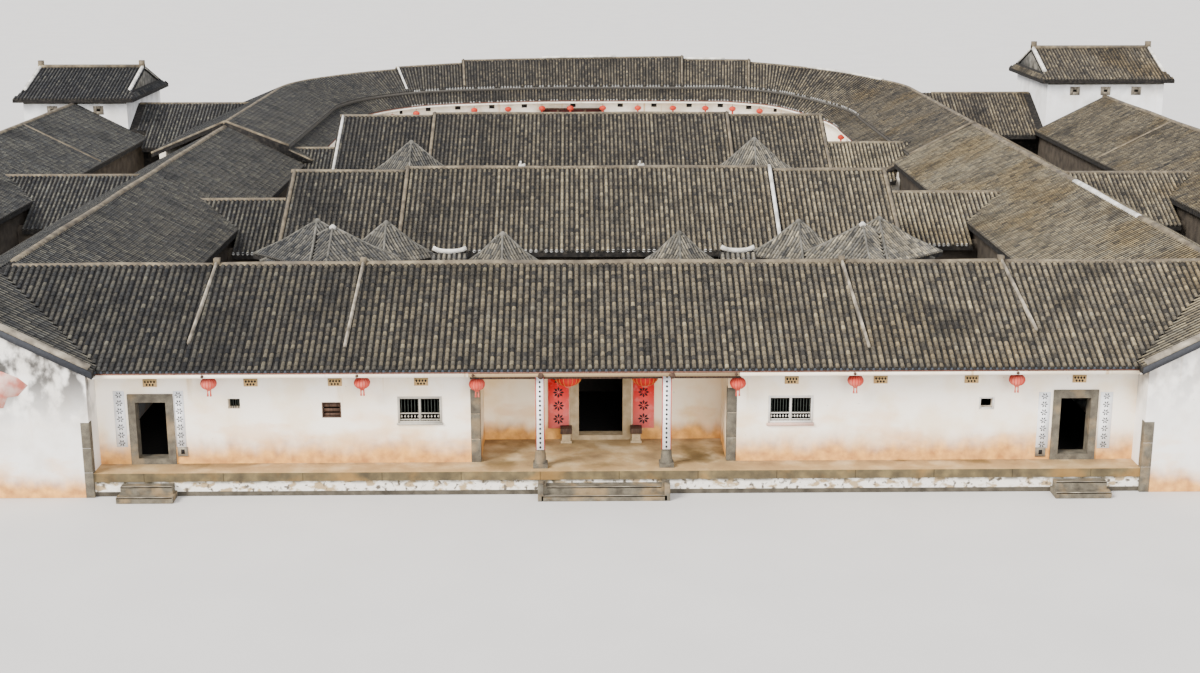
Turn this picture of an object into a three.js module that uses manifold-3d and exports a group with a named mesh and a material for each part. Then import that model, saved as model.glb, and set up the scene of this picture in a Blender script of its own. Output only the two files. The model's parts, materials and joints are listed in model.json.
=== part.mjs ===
// A Hakka walled house: a front range with a porch, two pairs of long side wings, two inner halls,
// a horseshoe range round the back, corner towers and small courtyard pavilions.
// All sizes below are those of the real house in metres. X runs along the front, Y to the back, Z up,
// with y = 0 on the face of the front wall. The group's scale makes the 1:2 model in millimetres.
import * as THREE from "three";
import { mergeVertices } from "three/addons/utils/BufferGeometryUtils.js";
import Module from "manifold-3d";

const wasm = await Module();
wasm.setup();

const MODEL_MM_PER_METRE = 500;
const MIDDLE_OF_DEPTH = 36.4;
const GAP = 0.0008;

// Shared roof and wall build-up
const ROOF_THICK = 0.22;
const WALL_THICK = 0.4;
const FLOOR = 0.82;

// Front range
const FRONT_HALF_LENGTH = 17.25;
const FRONT_EAVE = { y: -0.9, z: 4.25 };
const FRONT_RIDGE = { y: 4.1, z: 6.75 };
const FRONT_REAR_EAVE = { y: 9.1, z: 4.25 };
const FRONT_REAR_WALL = 8.2;
const PLATFORM_FRONT = -0.95;
const PLINTH_SET_BACK = 0.06;
const PORCH = { left: -4.9, right: 3.92, back: 2.4, return: 0.3, top: 4.1 };
const MAIN_DOOR = { left: -1.32, right: 0.2, top: 3.2, frame: 0.3, sill: 0.98 };
const SIDE_DOORS = [
  { name: "left", x: -15.47 },
  { name: "right", x: 15.22 },
];
const SIDE_DOOR = { half: 0.5, top: 2.97, frameHalf: 0.75, frameTop: 3.25 };
const LEFT_WINDOWS = [
  { x: -12.72, z: 2.9, w: 0.4, h: 0.34 },
  { x: -9.51, z: 2.67, w: 0.6, h: 0.5 },
  { x: -6.59, z: 2.66, w: 1.42, h: 0.88 },
];
const RIGHT_WINDOWS = [
  { x: 5.72, z: 2.62, w: 1.45, h: 0.9 },
  { x: 12.25, z: 2.8, w: 0.44, h: 0.36 },
];
const COLUMN = { leftX: -2.6, rightX: 1.58, y: -0.45, radius: 0.13, baseTop: 1.4 };
const BIG_LANTERNS = { xs: [-1.67, 0.87], y: 0.11, radius: 0.44, height: 0.62, middle: 3.74 };
const REAR_DOORS = [
  { left: -4.3, right: -2.7 },
  { left: 1.5, right: 3.1 },
];
const SMALL_LANTERNS = [-13.35, -8.7, -5.0, 3.95, 7.95, 13.45];

// Side wings and outer wings, given for the right and mirrored for the left
const WING = { inner: 16.95, ridge: 21.4, outer: 25.85, zEave: 4.35, zRidge: 6.6 };
const WING_WALLS = { inner: 17.25, outer: 25.5 };
const WING_FRONT = -1.0;
const WING_END = 42;
const OUTER = { inner: 28.6, ridge: 33.05, outer: 37.5, zEave: 4.45, zRidge: 6.7 };
const OUTER_WALLS = { inner: 28.95, outer: 37.15 };
const SIDES = [
  { side: "right", sign: 1 },
  { side: "left", sign: -1 },
];

// Horseshoe range: its ridge runs straight beside the wings, round two corner arcs and along a nearly
// flat middle arc. Places along it are the run in metres from the start of the right corner arc, and
// offsets are measured from the ridge, positive outwards. Angles are in degrees.
const RING = { ridge: 21.4, top: 70.1, corner: 10, flat: 6 };
const CORNER_FACETS = 15;
const FLAT_FACETS = 10;
const WALL_RUN = 0.1;
const FLAT_TURN = (RING.flat * Math.PI) / 180;
const CORNER_X = RING.ridge - RING.corner;
const FLAT_RADIUS = RING.corner + CORNER_X / Math.sin(FLAT_TURN);
const FLAT_Y = RING.top - FLAT_RADIUS;
const TAIL_END = FLAT_Y + (FLAT_RADIUS - RING.corner) * Math.cos(FLAT_TURN);
const CORNER_RUN = RING.corner * (Math.PI / 2 - FLAT_TURN);
const FLAT_RUN = 2 * FLAT_RADIUS * FLAT_TURN;
const RING_RUN = 2 * CORNER_RUN + FLAT_RUN;
const TAIL_RUN = TAIL_END - WING_END - GAP;

// Heights along the run: of the ridge on each stepped length, and of the upper eave, which has no step
const RING_STEPS = [
  [[-TAIL_RUN, 6.7], [0, 6.7], [5.7, 6.85], [15.7, 7.6]],
  [[15.7, 7.76], [20.6, 7.8]],
  [[20.6, 8.0], [36.9, 7.77]],
  [[36.9, 7.56], [41.7, 7.34]],
  [[41.7, 7.18], [47, 6.97], [RING_RUN, 6.84], [RING_RUN + TAIL_RUN, 6.84]],
];
const RING_EAVE = [
  [0, 4.85],
  [7.5, 5.35],
  [12.5, 5.85],
  [17.5, 6.2],
  [31, 6.2],
  [37.5, 6.08],
  [44, 5.82],
  [50, 5.6],
  [RING_RUN, 5.45],
];
const RING_ROOF = { inner: -3.55, outer: 4.3, outerFall: 0.4 };
const RING_WALLS = { upper: -3.1, lower: -4.25, outer: 3.85, thick: 0.38 };
const PENT = { eave: -4.9, eaveFall: 0.87, topFall: 0.05, thick: 0.18 };

// Inner halls
const MIDDLE = { y: 19.9, half: 5.3, zRidge: 7.65, zEave: 4.94, left: -13.9, right: 12.35 };
const MIDDLE_END = { left: -8.9, right: 7.26, drop: 0.14 };
const REAR = { y: 35.6, half: 5.1, zRidge: 8.1, zEave: 5.6, left: -13.9, right: 11.75 };
const REAR_END = { left: -9.0, right: 6.76, drop: 0.12 };
const COURT = { left: -3.2, right: 1.3 };

// Low roofed passages between a hall and its wings, and between the wings
const FRONT_LINK = {
  left: { y: 24.7, half: 3.75, zRidge: 5.42, zEave: 3.54 },
  right: { y: 26.0, half: 3.75, zRidge: 5.45, zEave: 3.57 },
};
const REAR_LINK = {
  left: { y: 43.4, half: 3.6, zRidge: 5.15, zEave: 3.4 },
  right: { y: 44.8, half: 3.6, zRidge: 5.2, zEave: 3.45 },
};
const OUTER_FRONT_LINK = { y: 31.8, half: 4.1, zRidge: 5.45, zEave: 3.4 };
const OUTER_REAR_LINK = {
  left: { y: 55.6, half: 4.6, zRidge: 6.35, zEave: 4.05 },
  right: { y: 59.3, half: 4.6, zRidge: 6.5, zEave: 4.2 },
};

// Corner towers: walls, eave, ridge and the inset of the gables from the eave
const TOWERS = {
  left: { left: 29.8, right: 36.3, front: 52.7, back: 61.3, zEave: 7.0, zRidge: 8.55 },
  right: { left: 29.3, right: 36.9, front: 55.2, back: 62.8, zEave: 7.8, zRidge: 9.5 },
};
const TOWER_OVERHANG = 0.5;
const TOWER_SKIRT = { inset: 0.32, rise: 0.4 };
const TOWER_CAP = { half: 0.15, height: 0.14, finial: 0.3 };

// Courtyard pavilions: centre and top of the roof, distance from the centre to a corner, height of
// the eave. Their roofs stand cornerwise, with one hip towards the front.
const FRONT_PAVILIONS_LEFT = [
  { x: -10.9, y: 11.25, top: 6.62, reach: 2.92, eave: 5.3 },
  { x: -11.6, y: 11.9, top: 6.75, reach: 2.6, eave: 5.45 },
  { x: -8.95, y: 12.48, top: 6.55, reach: 2.0, eave: 5.2 },
  { x: -4.3, y: 11.9, top: 6.2, reach: 1.65, eave: 4.95 },
];
const FRONT_PAVILIONS_RIGHT = [
  { x: 9.85, y: 11.25, top: 6.66, reach: 2.92, eave: 5.3 },
  { x: 10.6, y: 11.85, top: 6.78, reach: 2.6, eave: 5.45 },
  { x: 7.5, y: 12.48, top: 6.55, reach: 2.0, eave: 5.2 },
  { x: 2.7, y: 11.9, top: 6.2, reach: 1.65, eave: 4.95 },
];
const POST_INSET = 1;
const COURT_WALL = { y: 11.1, top: 5.1, thick: 0.3, gateTop: 5.65, gateHalf: 0.7 };
const REAR_PAVILIONS = [
  { name: "left", x: -9.4, y: 27.85, top: 7.62, reach: 2.6, eave: 5.78 },
  { name: "right", x: 7.3, y: 27.85, top: 7.72, reach: 2.6, eave: 5.8 },
];

// Basic solids

function toSolid(geometry) {
  geometry.deleteAttribute("normal");
  geometry.deleteAttribute("uv");
  const merged = mergeVertices(geometry, 1e-5);
  return new wasm.Manifold(
    new wasm.Mesh({
      numProp: 3,
      vertProperties: new Float32Array(merged.attributes.position.array),
      triVerts: new Uint32Array(merged.index.array),
    }),
  );
}

function box(x0, x1, y0, y1, z0, z1) {
  const geometry = new THREE.BoxGeometry(x1 - x0, y1 - y0, z1 - z0);
  geometry.translate((x0 + x1) / 2, (y0 + y1) / 2, (z0 + z1) / 2);
  return toSolid(geometry);
}

function shapeOf(points) {
  return new THREE.Shape(points.map(([a, b]) => new THREE.Vector2(a, b)));
}

function extrude(points, length) {
  return new THREE.ExtrudeGeometry(shapeOf(points), { depth: length, bevelEnabled: false });
}

// A profile of [y, z] points drawn out along X
function prismX(points, x0, x1) {
  const turn = new THREE.Matrix4().set(0, 0, 1, 0, 1, 0, 0, 0, 0, 1, 0, 0, 0, 0, 0, 1);
  const geometry = extrude(points, x1 - x0).applyMatrix4(turn);
  geometry.translate(x0, 0, 0);
  return toSolid(geometry);
}

// A profile of [x, z] points drawn out along Y
function prismY(points, y0, y1) {
  const geometry = extrude(points, y1 - y0).rotateX(Math.PI / 2);
  geometry.translate(0, y1, 0);
  return toSolid(geometry);
}

// A plan of [x, y] points drawn out along Z
function prismZ(points, z0, z1) {
  const geometry = extrude(points, z1 - z0);
  geometry.translate(0, 0, z0);
  return toSolid(geometry);
}

function upright(x, y, z0, z1, radius, topRadius = radius, sides = 16) {
  const geometry = new THREE.CylinderGeometry(topRadius, radius, z1 - z0, sides);
  geometry.rotateX(Math.PI / 2);
  geometry.translate(x, y, (z0 + z1) / 2);
  return toSolid(geometry);
}

function join(solids) {
  return solids.reduce((all, one) => all.add(one));
}

function cut(solid, tools) {
  return tools.reduce((left, tool) => left.subtract(tool), solid);
}

function mirrored(solid) {
  return solid.mirror([1, 0, 0]);
}

// The room that an inner wing's eaves need, on both sides of the house
function wingEaveRoom() {
  const z0 = WING.zEave - ROOF_THICK - GAP;
  const right = box(WING.inner - GAP, WING.outer + GAP, -3, WING_END + GAP, z0, 9);
  return right.add(mirrored(right));
}

// Roof shapes

// The closed [across, z] profile of a gabled roof shell
function gable(left, ridge, right, zLeft, zRidge, zRight, thick = ROOF_THICK) {
  return [
    [left, zLeft],
    [ridge, zRidge],
    [right, zRight],
    [right, zRight - thick],
    [ridge, zRidge - thick],
    [left, zLeft - thick],
  ];
}

// Everything below a gabled roof's upper face, with a small gap left round it
function underGable(left, ridge, right, zLeft, zRidge, zRight) {
  const lift = GAP * 1.2;
  return [
    [left - GAP, -1],
    [left - GAP, zLeft + lift],
    [ridge, zRidge + lift],
    [right + GAP, zRight + lift],
    [right + GAP, -1],
  ];
}

// Height of a roof's underside at a distance from the ridge, less the gap
function underside(roofTop, slope, distance) {
  return roofTop - slope * Math.abs(distance) - ROOF_THICK - GAP;
}

// A pyramid roof round the Z axis, with its corners on the X and Y axes
function pyramidRoof({ top, reach, eave }) {
  const rise = top - eave;
  const outer = [
    [0, top],
    [0.17, top - 0.05],
    [reach * 0.5, eave + rise * 0.45],
    [reach, eave],
  ];
  const inner = outer.map(([r, z]) => [r, z - 0.16]).reverse();
  const points = [...outer, ...inner].map(([r, z]) => new THREE.Vector2(r, z));
  points.push(points[0].clone());
  const geometry = new THREE.LatheGeometry(points.reverse(), 4);
  geometry.rotateX(Math.PI / 2);
  return toSolid(geometry);
}

// A pavilion of four posts under its pyramid roof, each post near a corner
function pavilion(spec, groundZ = 0) {
  const post = 0.15;
  const out = spec.reach - POST_INSET;
  const slope = ((spec.top - spec.eave) * 0.45) / (spec.reach * 0.5);
  const postTop = spec.eave + slope * POST_INSET - 0.12;
  const posts = [[out, 0], [-out, 0], [0, out], [0, -out]].map(([x, y]) =>
    box(x - post, x + post, y - post, y + post, groundZ, postTop),
  );
  return join([pyramidRoof(spec), ...posts]).translate([spec.x, spec.y, 0]);
}

// The height at a run between [run, z] marks
function level(marks, run) {
  const next = marks.findIndex(([at]) => at >= run);
  if (next === 0) return marks[0][1];
  if (next < 0) return marks[marks.length - 1][1];
  const [from, low] = marks[next - 1];
  const [to, high] = marks[next];
  return low + ((high - low) * (run - from)) / (to - from);
}

// The plan point of the horseshoe at a run along its ridge and an offset from it
function ringPoint(run, offset) {
  if (run > RING_RUN / 2) {
    const [x, y] = ringPoint(RING_RUN - run, offset);
    return [-x, y];
  }
  if (run < 0) return [RING.ridge + offset, TAIL_END + run];
  if (run < CORNER_RUN) {
    const turn = run / RING.corner;
    const r = RING.corner + offset;
    return [CORNER_X + r * Math.cos(turn), TAIL_END + r * Math.sin(turn)];
  }
  const turn = Math.PI / 2 - FLAT_TURN + (run - CORNER_RUN) / FLAT_RADIUS;
  const r = FLAT_RADIUS + offset;
  return [r * Math.cos(turn), FLAT_Y + r * Math.sin(turn)];
}

// The runs at which the horseshoe's facets meet between two places, with the marks of its heights
function facetRuns(from, to, marks) {
  const corner = Array.from({ length: CORNER_FACETS }, (_, i) => (CORNER_RUN * i) / CORNER_FACETS);
  const flat = Array.from({ length: FLAT_FACETS }, (_, i) => CORNER_RUN + (FLAT_RUN * i) / FLAT_FACETS);
  const mirror = corner.map((run) => RING_RUN - run);
  const places = [...corner, ...flat, CORNER_RUN + FLAT_RUN, ...mirror, ...marks.map(([at]) => at)];
  const near = 0.12;
  const kept = [from];
  for (const run of places.sort((a, b) => a - b)) {
    if (run > kept[kept.length - 1] + near && run < to - near) kept.push(run);
  }
  return [...kept, to];
}

// Sweeps a profile of [offset from the ridge, z] along the horseshoe; profileAt gives it for a run
function ringPiece(profileAt, from, to, marks) {
  const runs = facetRuns(from, to, marks);
  const start = shapeOf(profileAt(from)).getPoints();
  const turned = THREE.ShapeUtils.area(start) < 0;
  const profiles = runs.map((run) => (turned ? profileAt(run).reverse() : profileAt(run)));
  const points = profiles.flatMap((profile, i) =>
    profile.map(([offset, z]) => [...ringPoint(runs[i], offset), z]),
  );
  const count = profiles[0].length;
  const last = points.length - count;
  const faces = [];
  for (let i = 0; i < last; i += count) {
    for (let j = 0; j < count; j++) {
      const k = (j + 1) % count;
      faces.push(i + k, i + j, i + count + j, i + k, i + count + j, i + count + k);
    }
  }
  const outline = profiles[0].map(([a, b]) => new THREE.Vector2(a, b));
  for (const [a, b, c] of THREE.ShapeUtils.triangulateShape(outline, [])) {
    faces.push(a, b, c, last + a, last + c, last + b);
  }
  const vertProperties = new Float32Array(points.flat());
  return new wasm.Manifold(
    new wasm.Mesh({ numProp: 3, vertProperties, triVerts: new Uint32Array(faces) }),
  );
}

// Materials

function material(color, roughness = 0.9, metalness = 0) {
  return new THREE.MeshStandardMaterial({ color, roughness, metalness });
}

const MATERIALS = {
  roof: () => material("#7d7262"),
  plaster: () => material("#cfc6b4"),
  stone: () => material("#9a958a"),
  paving: () => material("#a8a295"),
  timber: () => material("#5a4535"),
  red: () => material("#b3301f", 0.6),
  darkRed: () => material("#5c1c18", 0.7),
};

const house = new THREE.Group();
house.name = "hakka_walled_house";

function place(name, solid, kind) {
  const mesh = solid.getMesh();
  const geometry = new THREE.BufferGeometry();
  const position = new Float32Array(mesh.numVert * 3);
  for (let i = 0; i < mesh.numVert; i++) {
    const start = i * mesh.numProp;
    position.set(mesh.vertProperties.subarray(start, start + 3), i * 3);
  }
  geometry.setAttribute("position", new THREE.BufferAttribute(position, 3));
  geometry.setIndex(new THREE.BufferAttribute(new Uint32Array(mesh.triVerts), 1));
  geometry.computeVertexNormals();
  const made = new THREE.Mesh(geometry, MATERIALS[kind]());
  made.name = name;
  house.add(made);
}

// Platform and steps

function platform() {
  const plinth = box(
    -FRONT_HALF_LENGTH + GAP,
    FRONT_HALF_LENGTH - GAP,
    PLATFORM_FRONT + PLINTH_SET_BACK,
    FRONT_REAR_WALL + WALL_THICK,
    0,
    FLOOR - 0.3,
  );
  const slab = box(
    -FRONT_HALF_LENGTH + GAP,
    FRONT_HALF_LENGTH - GAP,
    PLATFORM_FRONT,
    FRONT_REAR_WALL + WALL_THICK,
    FLOOR - 0.3,
    FLOOR,
  );
  place("front_platform", plinth.add(slab), "paving");
}

function steps() {
  const face = PLATFORM_FRONT + PLINTH_SET_BACK - GAP;
  const centre = join([
    box(-2.55, 1.55, -1.6, face, 0, 0.18),
    box(-2.4, 1.4, -1.35, face, 0.18, 0.4),
    box(-2.55, -2.4, -1.35, face, 0.18, 0.51),
    box(1.4, 1.55, -1.35, face, 0.18, 0.51),
  ]);
  place("central_steps", centre, "stone");
  for (const { name, x } of SIDE_DOORS) {
    const flight = join([
      box(x - 0.92, x + 0.92, -1.6, face, 0, 0.2),
      box(x - 0.85, x + 0.85, -1.25, face, 0.2, 0.45),
    ]);
    place(name + "_side_steps", flight, "stone");
  }
}

// Front range

function frontWall(name, x0, x1, door, windows) {
  const base = FLOOR + GAP;
  const top = underside(FRONT_RIDGE.z, 0.5, FRONT_RIDGE.y);
  const inside = underside(FRONT_RIDGE.z, 0.5, FRONT_RIDGE.y - WALL_THICK);
  const wall = prismX(
    [
      [0, base],
      [0, top],
      [WALL_THICK, inside],
      [WALL_THICK, base],
    ],
    x0,
    x1,
  );
  const reach = SIDE_DOOR.frameHalf + GAP;
  const holes = [box(door - reach, door + reach, -1, 1, 0, SIDE_DOOR.frameTop + GAP)];
  for (const w of windows) {
    holes.push(box(w.x - w.w / 2, w.x + w.w / 2, -1, 1, w.z - w.h / 2, w.z + w.h / 2));
  }
  place(name, cut(wall, [...holes, wingEaveRoom()]), "plaster");
}

function doorFrame(name, x, half, outerHalf, top, outerTop, y0, y1, sill) {
  const base = FLOOR + GAP;
  const frame = box(x - outerHalf, x + outerHalf, y0, y1, base, outerTop);
  const opening = box(x - half, x + half, -2, 4, sill, top);
  place(name, frame.subtract(opening), "stone");
}

function frontWalls() {
  const end = FRONT_HALF_LENGTH - GAP;
  frontWall("front_wall_left", -end, PORCH.left, SIDE_DOORS[0].x, LEFT_WINDOWS);
  frontWall("front_wall_right", PORCH.right, end, SIDE_DOORS[1].x, RIGHT_WINDOWS);
  for (const { name, x } of SIDE_DOORS) {
    doorFrame(
      name + "_door_frame",
      x,
      SIDE_DOOR.half,
      SIDE_DOOR.frameHalf,
      SIDE_DOOR.top,
      SIDE_DOOR.frameTop,
      -0.06,
      WALL_THICK,
      1.02,
    );
  }
}

function porchWalls() {
  const base = FLOOR + GAP;
  const back = PORCH.back;
  const slope = 0.5;
  const wallAt = (y0, y1, x0, x1) =>
    prismX(
      [
        [y0, base],
        [y0, underside(FRONT_RIDGE.z, slope, FRONT_RIDGE.y - y0)],
        [y1, underside(FRONT_RIDGE.z, slope, FRONT_RIDGE.y - y1)],
        [y1, base],
      ],
      x0,
      x1,
    );
  const inner = [PORCH.left + PORCH.return, PORCH.right - PORCH.return];
  const walls = join([
    wallAt(0, back + WALL_THICK, PORCH.left + GAP, inner[0]),
    wallAt(0, back + WALL_THICK, inner[1], PORCH.right - GAP),
    wallAt(back, back + WALL_THICK, inner[0] - 0.01, inner[1] + 0.01),
  ]);
  const middle = (MAIN_DOOR.left + MAIN_DOOR.right) / 2;
  const half = (MAIN_DOOR.right - MAIN_DOOR.left) / 2;
  const outerHalf = half + MAIN_DOOR.frame;
  const hole = box(
    middle - outerHalf - GAP,
    middle + outerHalf + GAP,
    back - 1,
    back + 1,
    0,
    MAIN_DOOR.top + MAIN_DOOR.frame + GAP,
  );
  place("porch_walls", walls.subtract(hole), "plaster");
  doorFrame(
    "main_door_frame",
    middle,
    half,
    outerHalf,
    MAIN_DOOR.top,
    MAIN_DOOR.top + MAIN_DOOR.frame,
    back - 0.08,
    back + WALL_THICK,
    MAIN_DOOR.sill,
  );
  for (const [side, x] of [["left", MAIN_DOOR.left - 0.3], ["right", MAIN_DOOR.right + 0.3]]) {
    const y1 = back - 0.08 - GAP;
    const pedestal = join([
      box(x - 0.25, x + 0.25, y1 - 0.44, y1, base, base + 0.13),
      box(x - 0.18, x + 0.18, y1 - 0.37, y1, base + 0.12, base + 0.5),
      box(x - 0.22, x + 0.22, y1 - 0.41, y1, base + 0.49, base + 0.6),
    ]);
    place(side + "_door_pedestal", pedestal, "stone");
  }
  for (const [side, x] of [["left", -2.03], ["right", 0.93]]) {
    const panel = box(x - 0.36, x + 0.36, back - 0.05, back - GAP, 1.35, 3.15);
    place(side + "_red_panel", panel, "red");
  }
}

function porchColumns() {
  const base = FLOOR + GAP;
  const beamBottom = 3.86;
  for (const [side, x] of [["left", COLUMN.leftX], ["right", COLUMN.rightX]]) {
    const column = join([
      box(x - 0.24, x + 0.24, COLUMN.y - 0.24, COLUMN.y + 0.24, base, base + 0.14),
      upright(x, COLUMN.y, base + 0.13, COLUMN.baseTop, 0.21, 0.16),
      upright(x, COLUMN.y, COLUMN.baseTop - 0.01, beamBottom - GAP, COLUMN.radius),
    ]);
    place(side + "_porch_column", column, "stone");
  }
  const top = underside(FRONT_RIDGE.z, 0.5, FRONT_RIDGE.y - COLUMN.y + 0.1) - 0.02;
  place(
    "porch_beam",
    box(PORCH.left + 0.02, PORCH.right - 0.02, COLUMN.y - 0.1, COLUMN.y + 0.1, beamBottom, top),
    "timber",
  );
  const { xs, y, radius, height, middle } = BIG_LANTERNS;
  const roofUnder = underside(FRONT_RIDGE.z, 0.5, FRONT_RIDGE.y - y + 0.03);
  xs.forEach((x, i) => {
    const rod = roofUnder - middle - height / 2;
    place((i ? "right" : "left") + "_big_lantern", lantern(x, y, roofUnder, radius, height, rod), "red");
  });
}

// A round paper lantern hanging from a short rod whose top is at z
function lantern(x, y, z, radius, height, rod) {
  const middle = z - rod - height / 2;
  const points = [
    [0, middle - height / 2],
    [radius * 0.45, middle - height / 2],
    [radius * 0.9, middle - height * 0.25],
    [radius, middle],
    [radius * 0.9, middle + height * 0.25],
    [radius * 0.45, middle + height / 2],
    [0, middle + height / 2],
  ].map(([r, h]) => new THREE.Vector2(r, h));
  const body = new THREE.LatheGeometry(points, 12).rotateX(Math.PI / 2);
  body.translate(x, y, 0);
  let solid = toSolid(body);
  if (solid.volume() < 0) {
    const turned = new THREE.LatheGeometry(points.reverse(), 12).rotateX(Math.PI / 2);
    turned.translate(x, y, 0);
    solid = toSolid(turned);
  }
  return solid.add(upright(x, y, middle + height / 2 - 0.05, z, 0.03, 0.03, 6));
}

function eaveLanterns() {
  const y = -0.5;
  const roofUnder = underside(FRONT_RIDGE.z, 0.5, FRONT_RIDGE.y - y + 0.05);
  const rails = [
    ["left_eave_rail", -WING.inner + 0.05, PORCH.left, SMALL_LANTERNS.slice(0, 3)],
    ["right_eave_rail", PORCH.right, WING.inner - 0.05, SMALL_LANTERNS.slice(3)],
  ];
  for (const [name, x0, x1, xs] of rails) {
    const rail = box(x0, x1, y - 0.05, y + 0.05, roofUnder - 0.1, roofUnder);
    const lanterns = xs.map((x) => lantern(x, y, roofUnder - 0.05, 0.27, 0.42, 0.34));
    place(name, join([rail, ...lanterns]), "red");
  }
}

function frontRoof() {
  const roof = prismX(
    gable(
      FRONT_EAVE.y,
      FRONT_RIDGE.y,
      FRONT_REAR_EAVE.y,
      FRONT_EAVE.z,
      FRONT_RIDGE.z,
      FRONT_REAR_EAVE.z,
    ),
    -21.2,
    21.2,
  );
  const stones = [prismY(wingEnvelope(1), -3, WING_END), prismY(wingEnvelope(-1), -3, WING_END)];
  place("front_roof", cut(roof, stones), "roof");
}

function frontRearWall() {
  const top = underside(FRONT_RIDGE.z, 0.5, FRONT_REAR_WALL + WALL_THICK - FRONT_RIDGE.y);
  const inside = underside(FRONT_RIDGE.z, 0.5, FRONT_REAR_WALL - FRONT_RIDGE.y);
  const end = FRONT_HALF_LENGTH - GAP;
  const wall = prismX(
    [
      [FRONT_REAR_WALL, FLOOR + GAP],
      [FRONT_REAR_WALL, inside],
      [FRONT_REAR_WALL + WALL_THICK, top],
      [FRONT_REAR_WALL + WALL_THICK, FLOOR + GAP],
    ],
    -end,
    end,
  );
  const doors = REAR_DOORS.map(({ left, right }) => box(left, right, 7, 10, 0, 3.5));
  place("front_range_rear_wall", cut(wall, [...doors, wingEaveRoom()]), "plaster");
}

// Side wings

function wingEnvelope(side) {
  const points = underGable(WING.inner, WING.ridge, WING.outer, WING.zEave, WING.zRidge, WING.zEave);
  return points.map(([x, z]) => [side * x, z]);
}

function wingSlope(w) {
  return (w.zRidge - w.zEave) / (w.ridge - w.inner);
}

function linkRoof(link, x0, x1) {
  return prismX(
    gable(
      link.y - link.half,
      link.y,
      link.y + link.half,
      link.zEave,
      link.zRidge,
      link.zEave,
    ),
    x0,
    x1,
  );
}

// A wall along X under a link's roof, its centre line at y
function linkWall(link, x0, x1, y, half = 0.15) {
  const slope = (link.zRidge - link.zEave) / link.half;
  const top = (at) => underside(link.zRidge, slope, at - link.y);
  return prismX(
    [
      [y - half, 0],
      [y - half, top(y - half)],
      [y + half, top(y + half)],
      [y + half, 0],
    ],
    x0,
    x1,
  );
}

// The space under the straight end of the horseshoe: its lower eave, its upper eave and its ridge
function underTail(side) {
  const [ridges, run] = side === "right" ? [RING_STEPS[0], 0] : [RING_STEPS[4], RING_RUN];
  const z = level(ridges, run) + GAP * 1.5;
  const eaveZ = level(RING_EAVE, run) + GAP * 1.5;
  const edge = RING_ROOF.inner - GAP;
  const points = [
    [PENT.eave - GAP, -1],
    [PENT.eave - GAP, pentTop(eaveZ, PENT.eave)],
    [edge, pentTop(eaveZ, edge)],
    [edge, eaveZ],
    [0, z],
    [0, -1],
  ];
  return prismY(
    points.map(([r, h]) => [RING.ridge + r, h]),
    WING_END,
    TAIL_END,
  );
}

function wingRoof() {
  const profile = [WING.inner, WING.ridge, WING.outer, WING.zEave, WING.zRidge, WING.zEave];
  const from = WING_FRONT - 0.25;
  const shell = prismY(gable(...profile), from, WING_END);
  const below = prismY(
    underGable(...profile).map(([x, z]) => [x, z > 0 ? z - 0.06 : z]),
    from,
    WING_END,
  );
  return { shell, below };
}

// The room taken by a hall's roof, where a link's roof stops beside it
function hallRoom(hall, end) {
  return box(0, end + 0.02, 0, hall.y + hall.half + GAP, -1, 9);
}

function sideWings() {
  const { shell, below } = wingRoof();
  for (const { side, sign } of SIDES) {
    const turn = (s) => (sign > 0 ? s : mirrored(s));
    const hallEnds = [Math.abs(MIDDLE[side]), Math.abs(REAR[side])];
    const frontLink = cut(linkRoof(FRONT_LINK[side], hallEnds[0] - 0.74, 20.4), [
      below,
      hallRoom(MIDDLE, hallEnds[0]),
    ]);
    const rearLink = cut(linkRoof(REAR_LINK[side], hallEnds[1] - 0.74, 20.4), [
      prismY(wingEnvelope(1), -3, WING_END + GAP),
      underTail(side),
      hallRoom(REAR, hallEnds[1]),
    ]);
    place(side + "_wing_roof", turn(join([shell, frontLink])), "roof");
    place(side + "_rear_link_roof", turn(rearLink), "roof");

    const slope = wingSlope(WING);
    const top = (x) => underside(WING.zRidge, slope, x - WING.ridge);
    const w = WING_WALLS;
    const long = (x0, x1) =>
      prismY(
        [
          [x0, 0],
          [x0, top(x0)],
          [x1, top(x1)],
          [x1, 0],
        ],
        WING_FRONT + 0.1,
        WING_END,
      );
    const front = prismY(
      [
        [w.inner, 0],
        [w.inner, top(w.inner)],
        [WING.ridge, top(WING.ridge)],
        [w.outer, top(w.outer)],
        [w.outer, 0],
      ],
      WING_FRONT,
      WING_FRONT + WALL_THICK,
    );
    const walls = join([
      front,
      long(w.inner, w.inner + WALL_THICK),
      long(w.outer - WALL_THICK, w.outer),
    ]);
    place(side + "_wing_walls", turn(walls), "plaster");
  }
}

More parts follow.
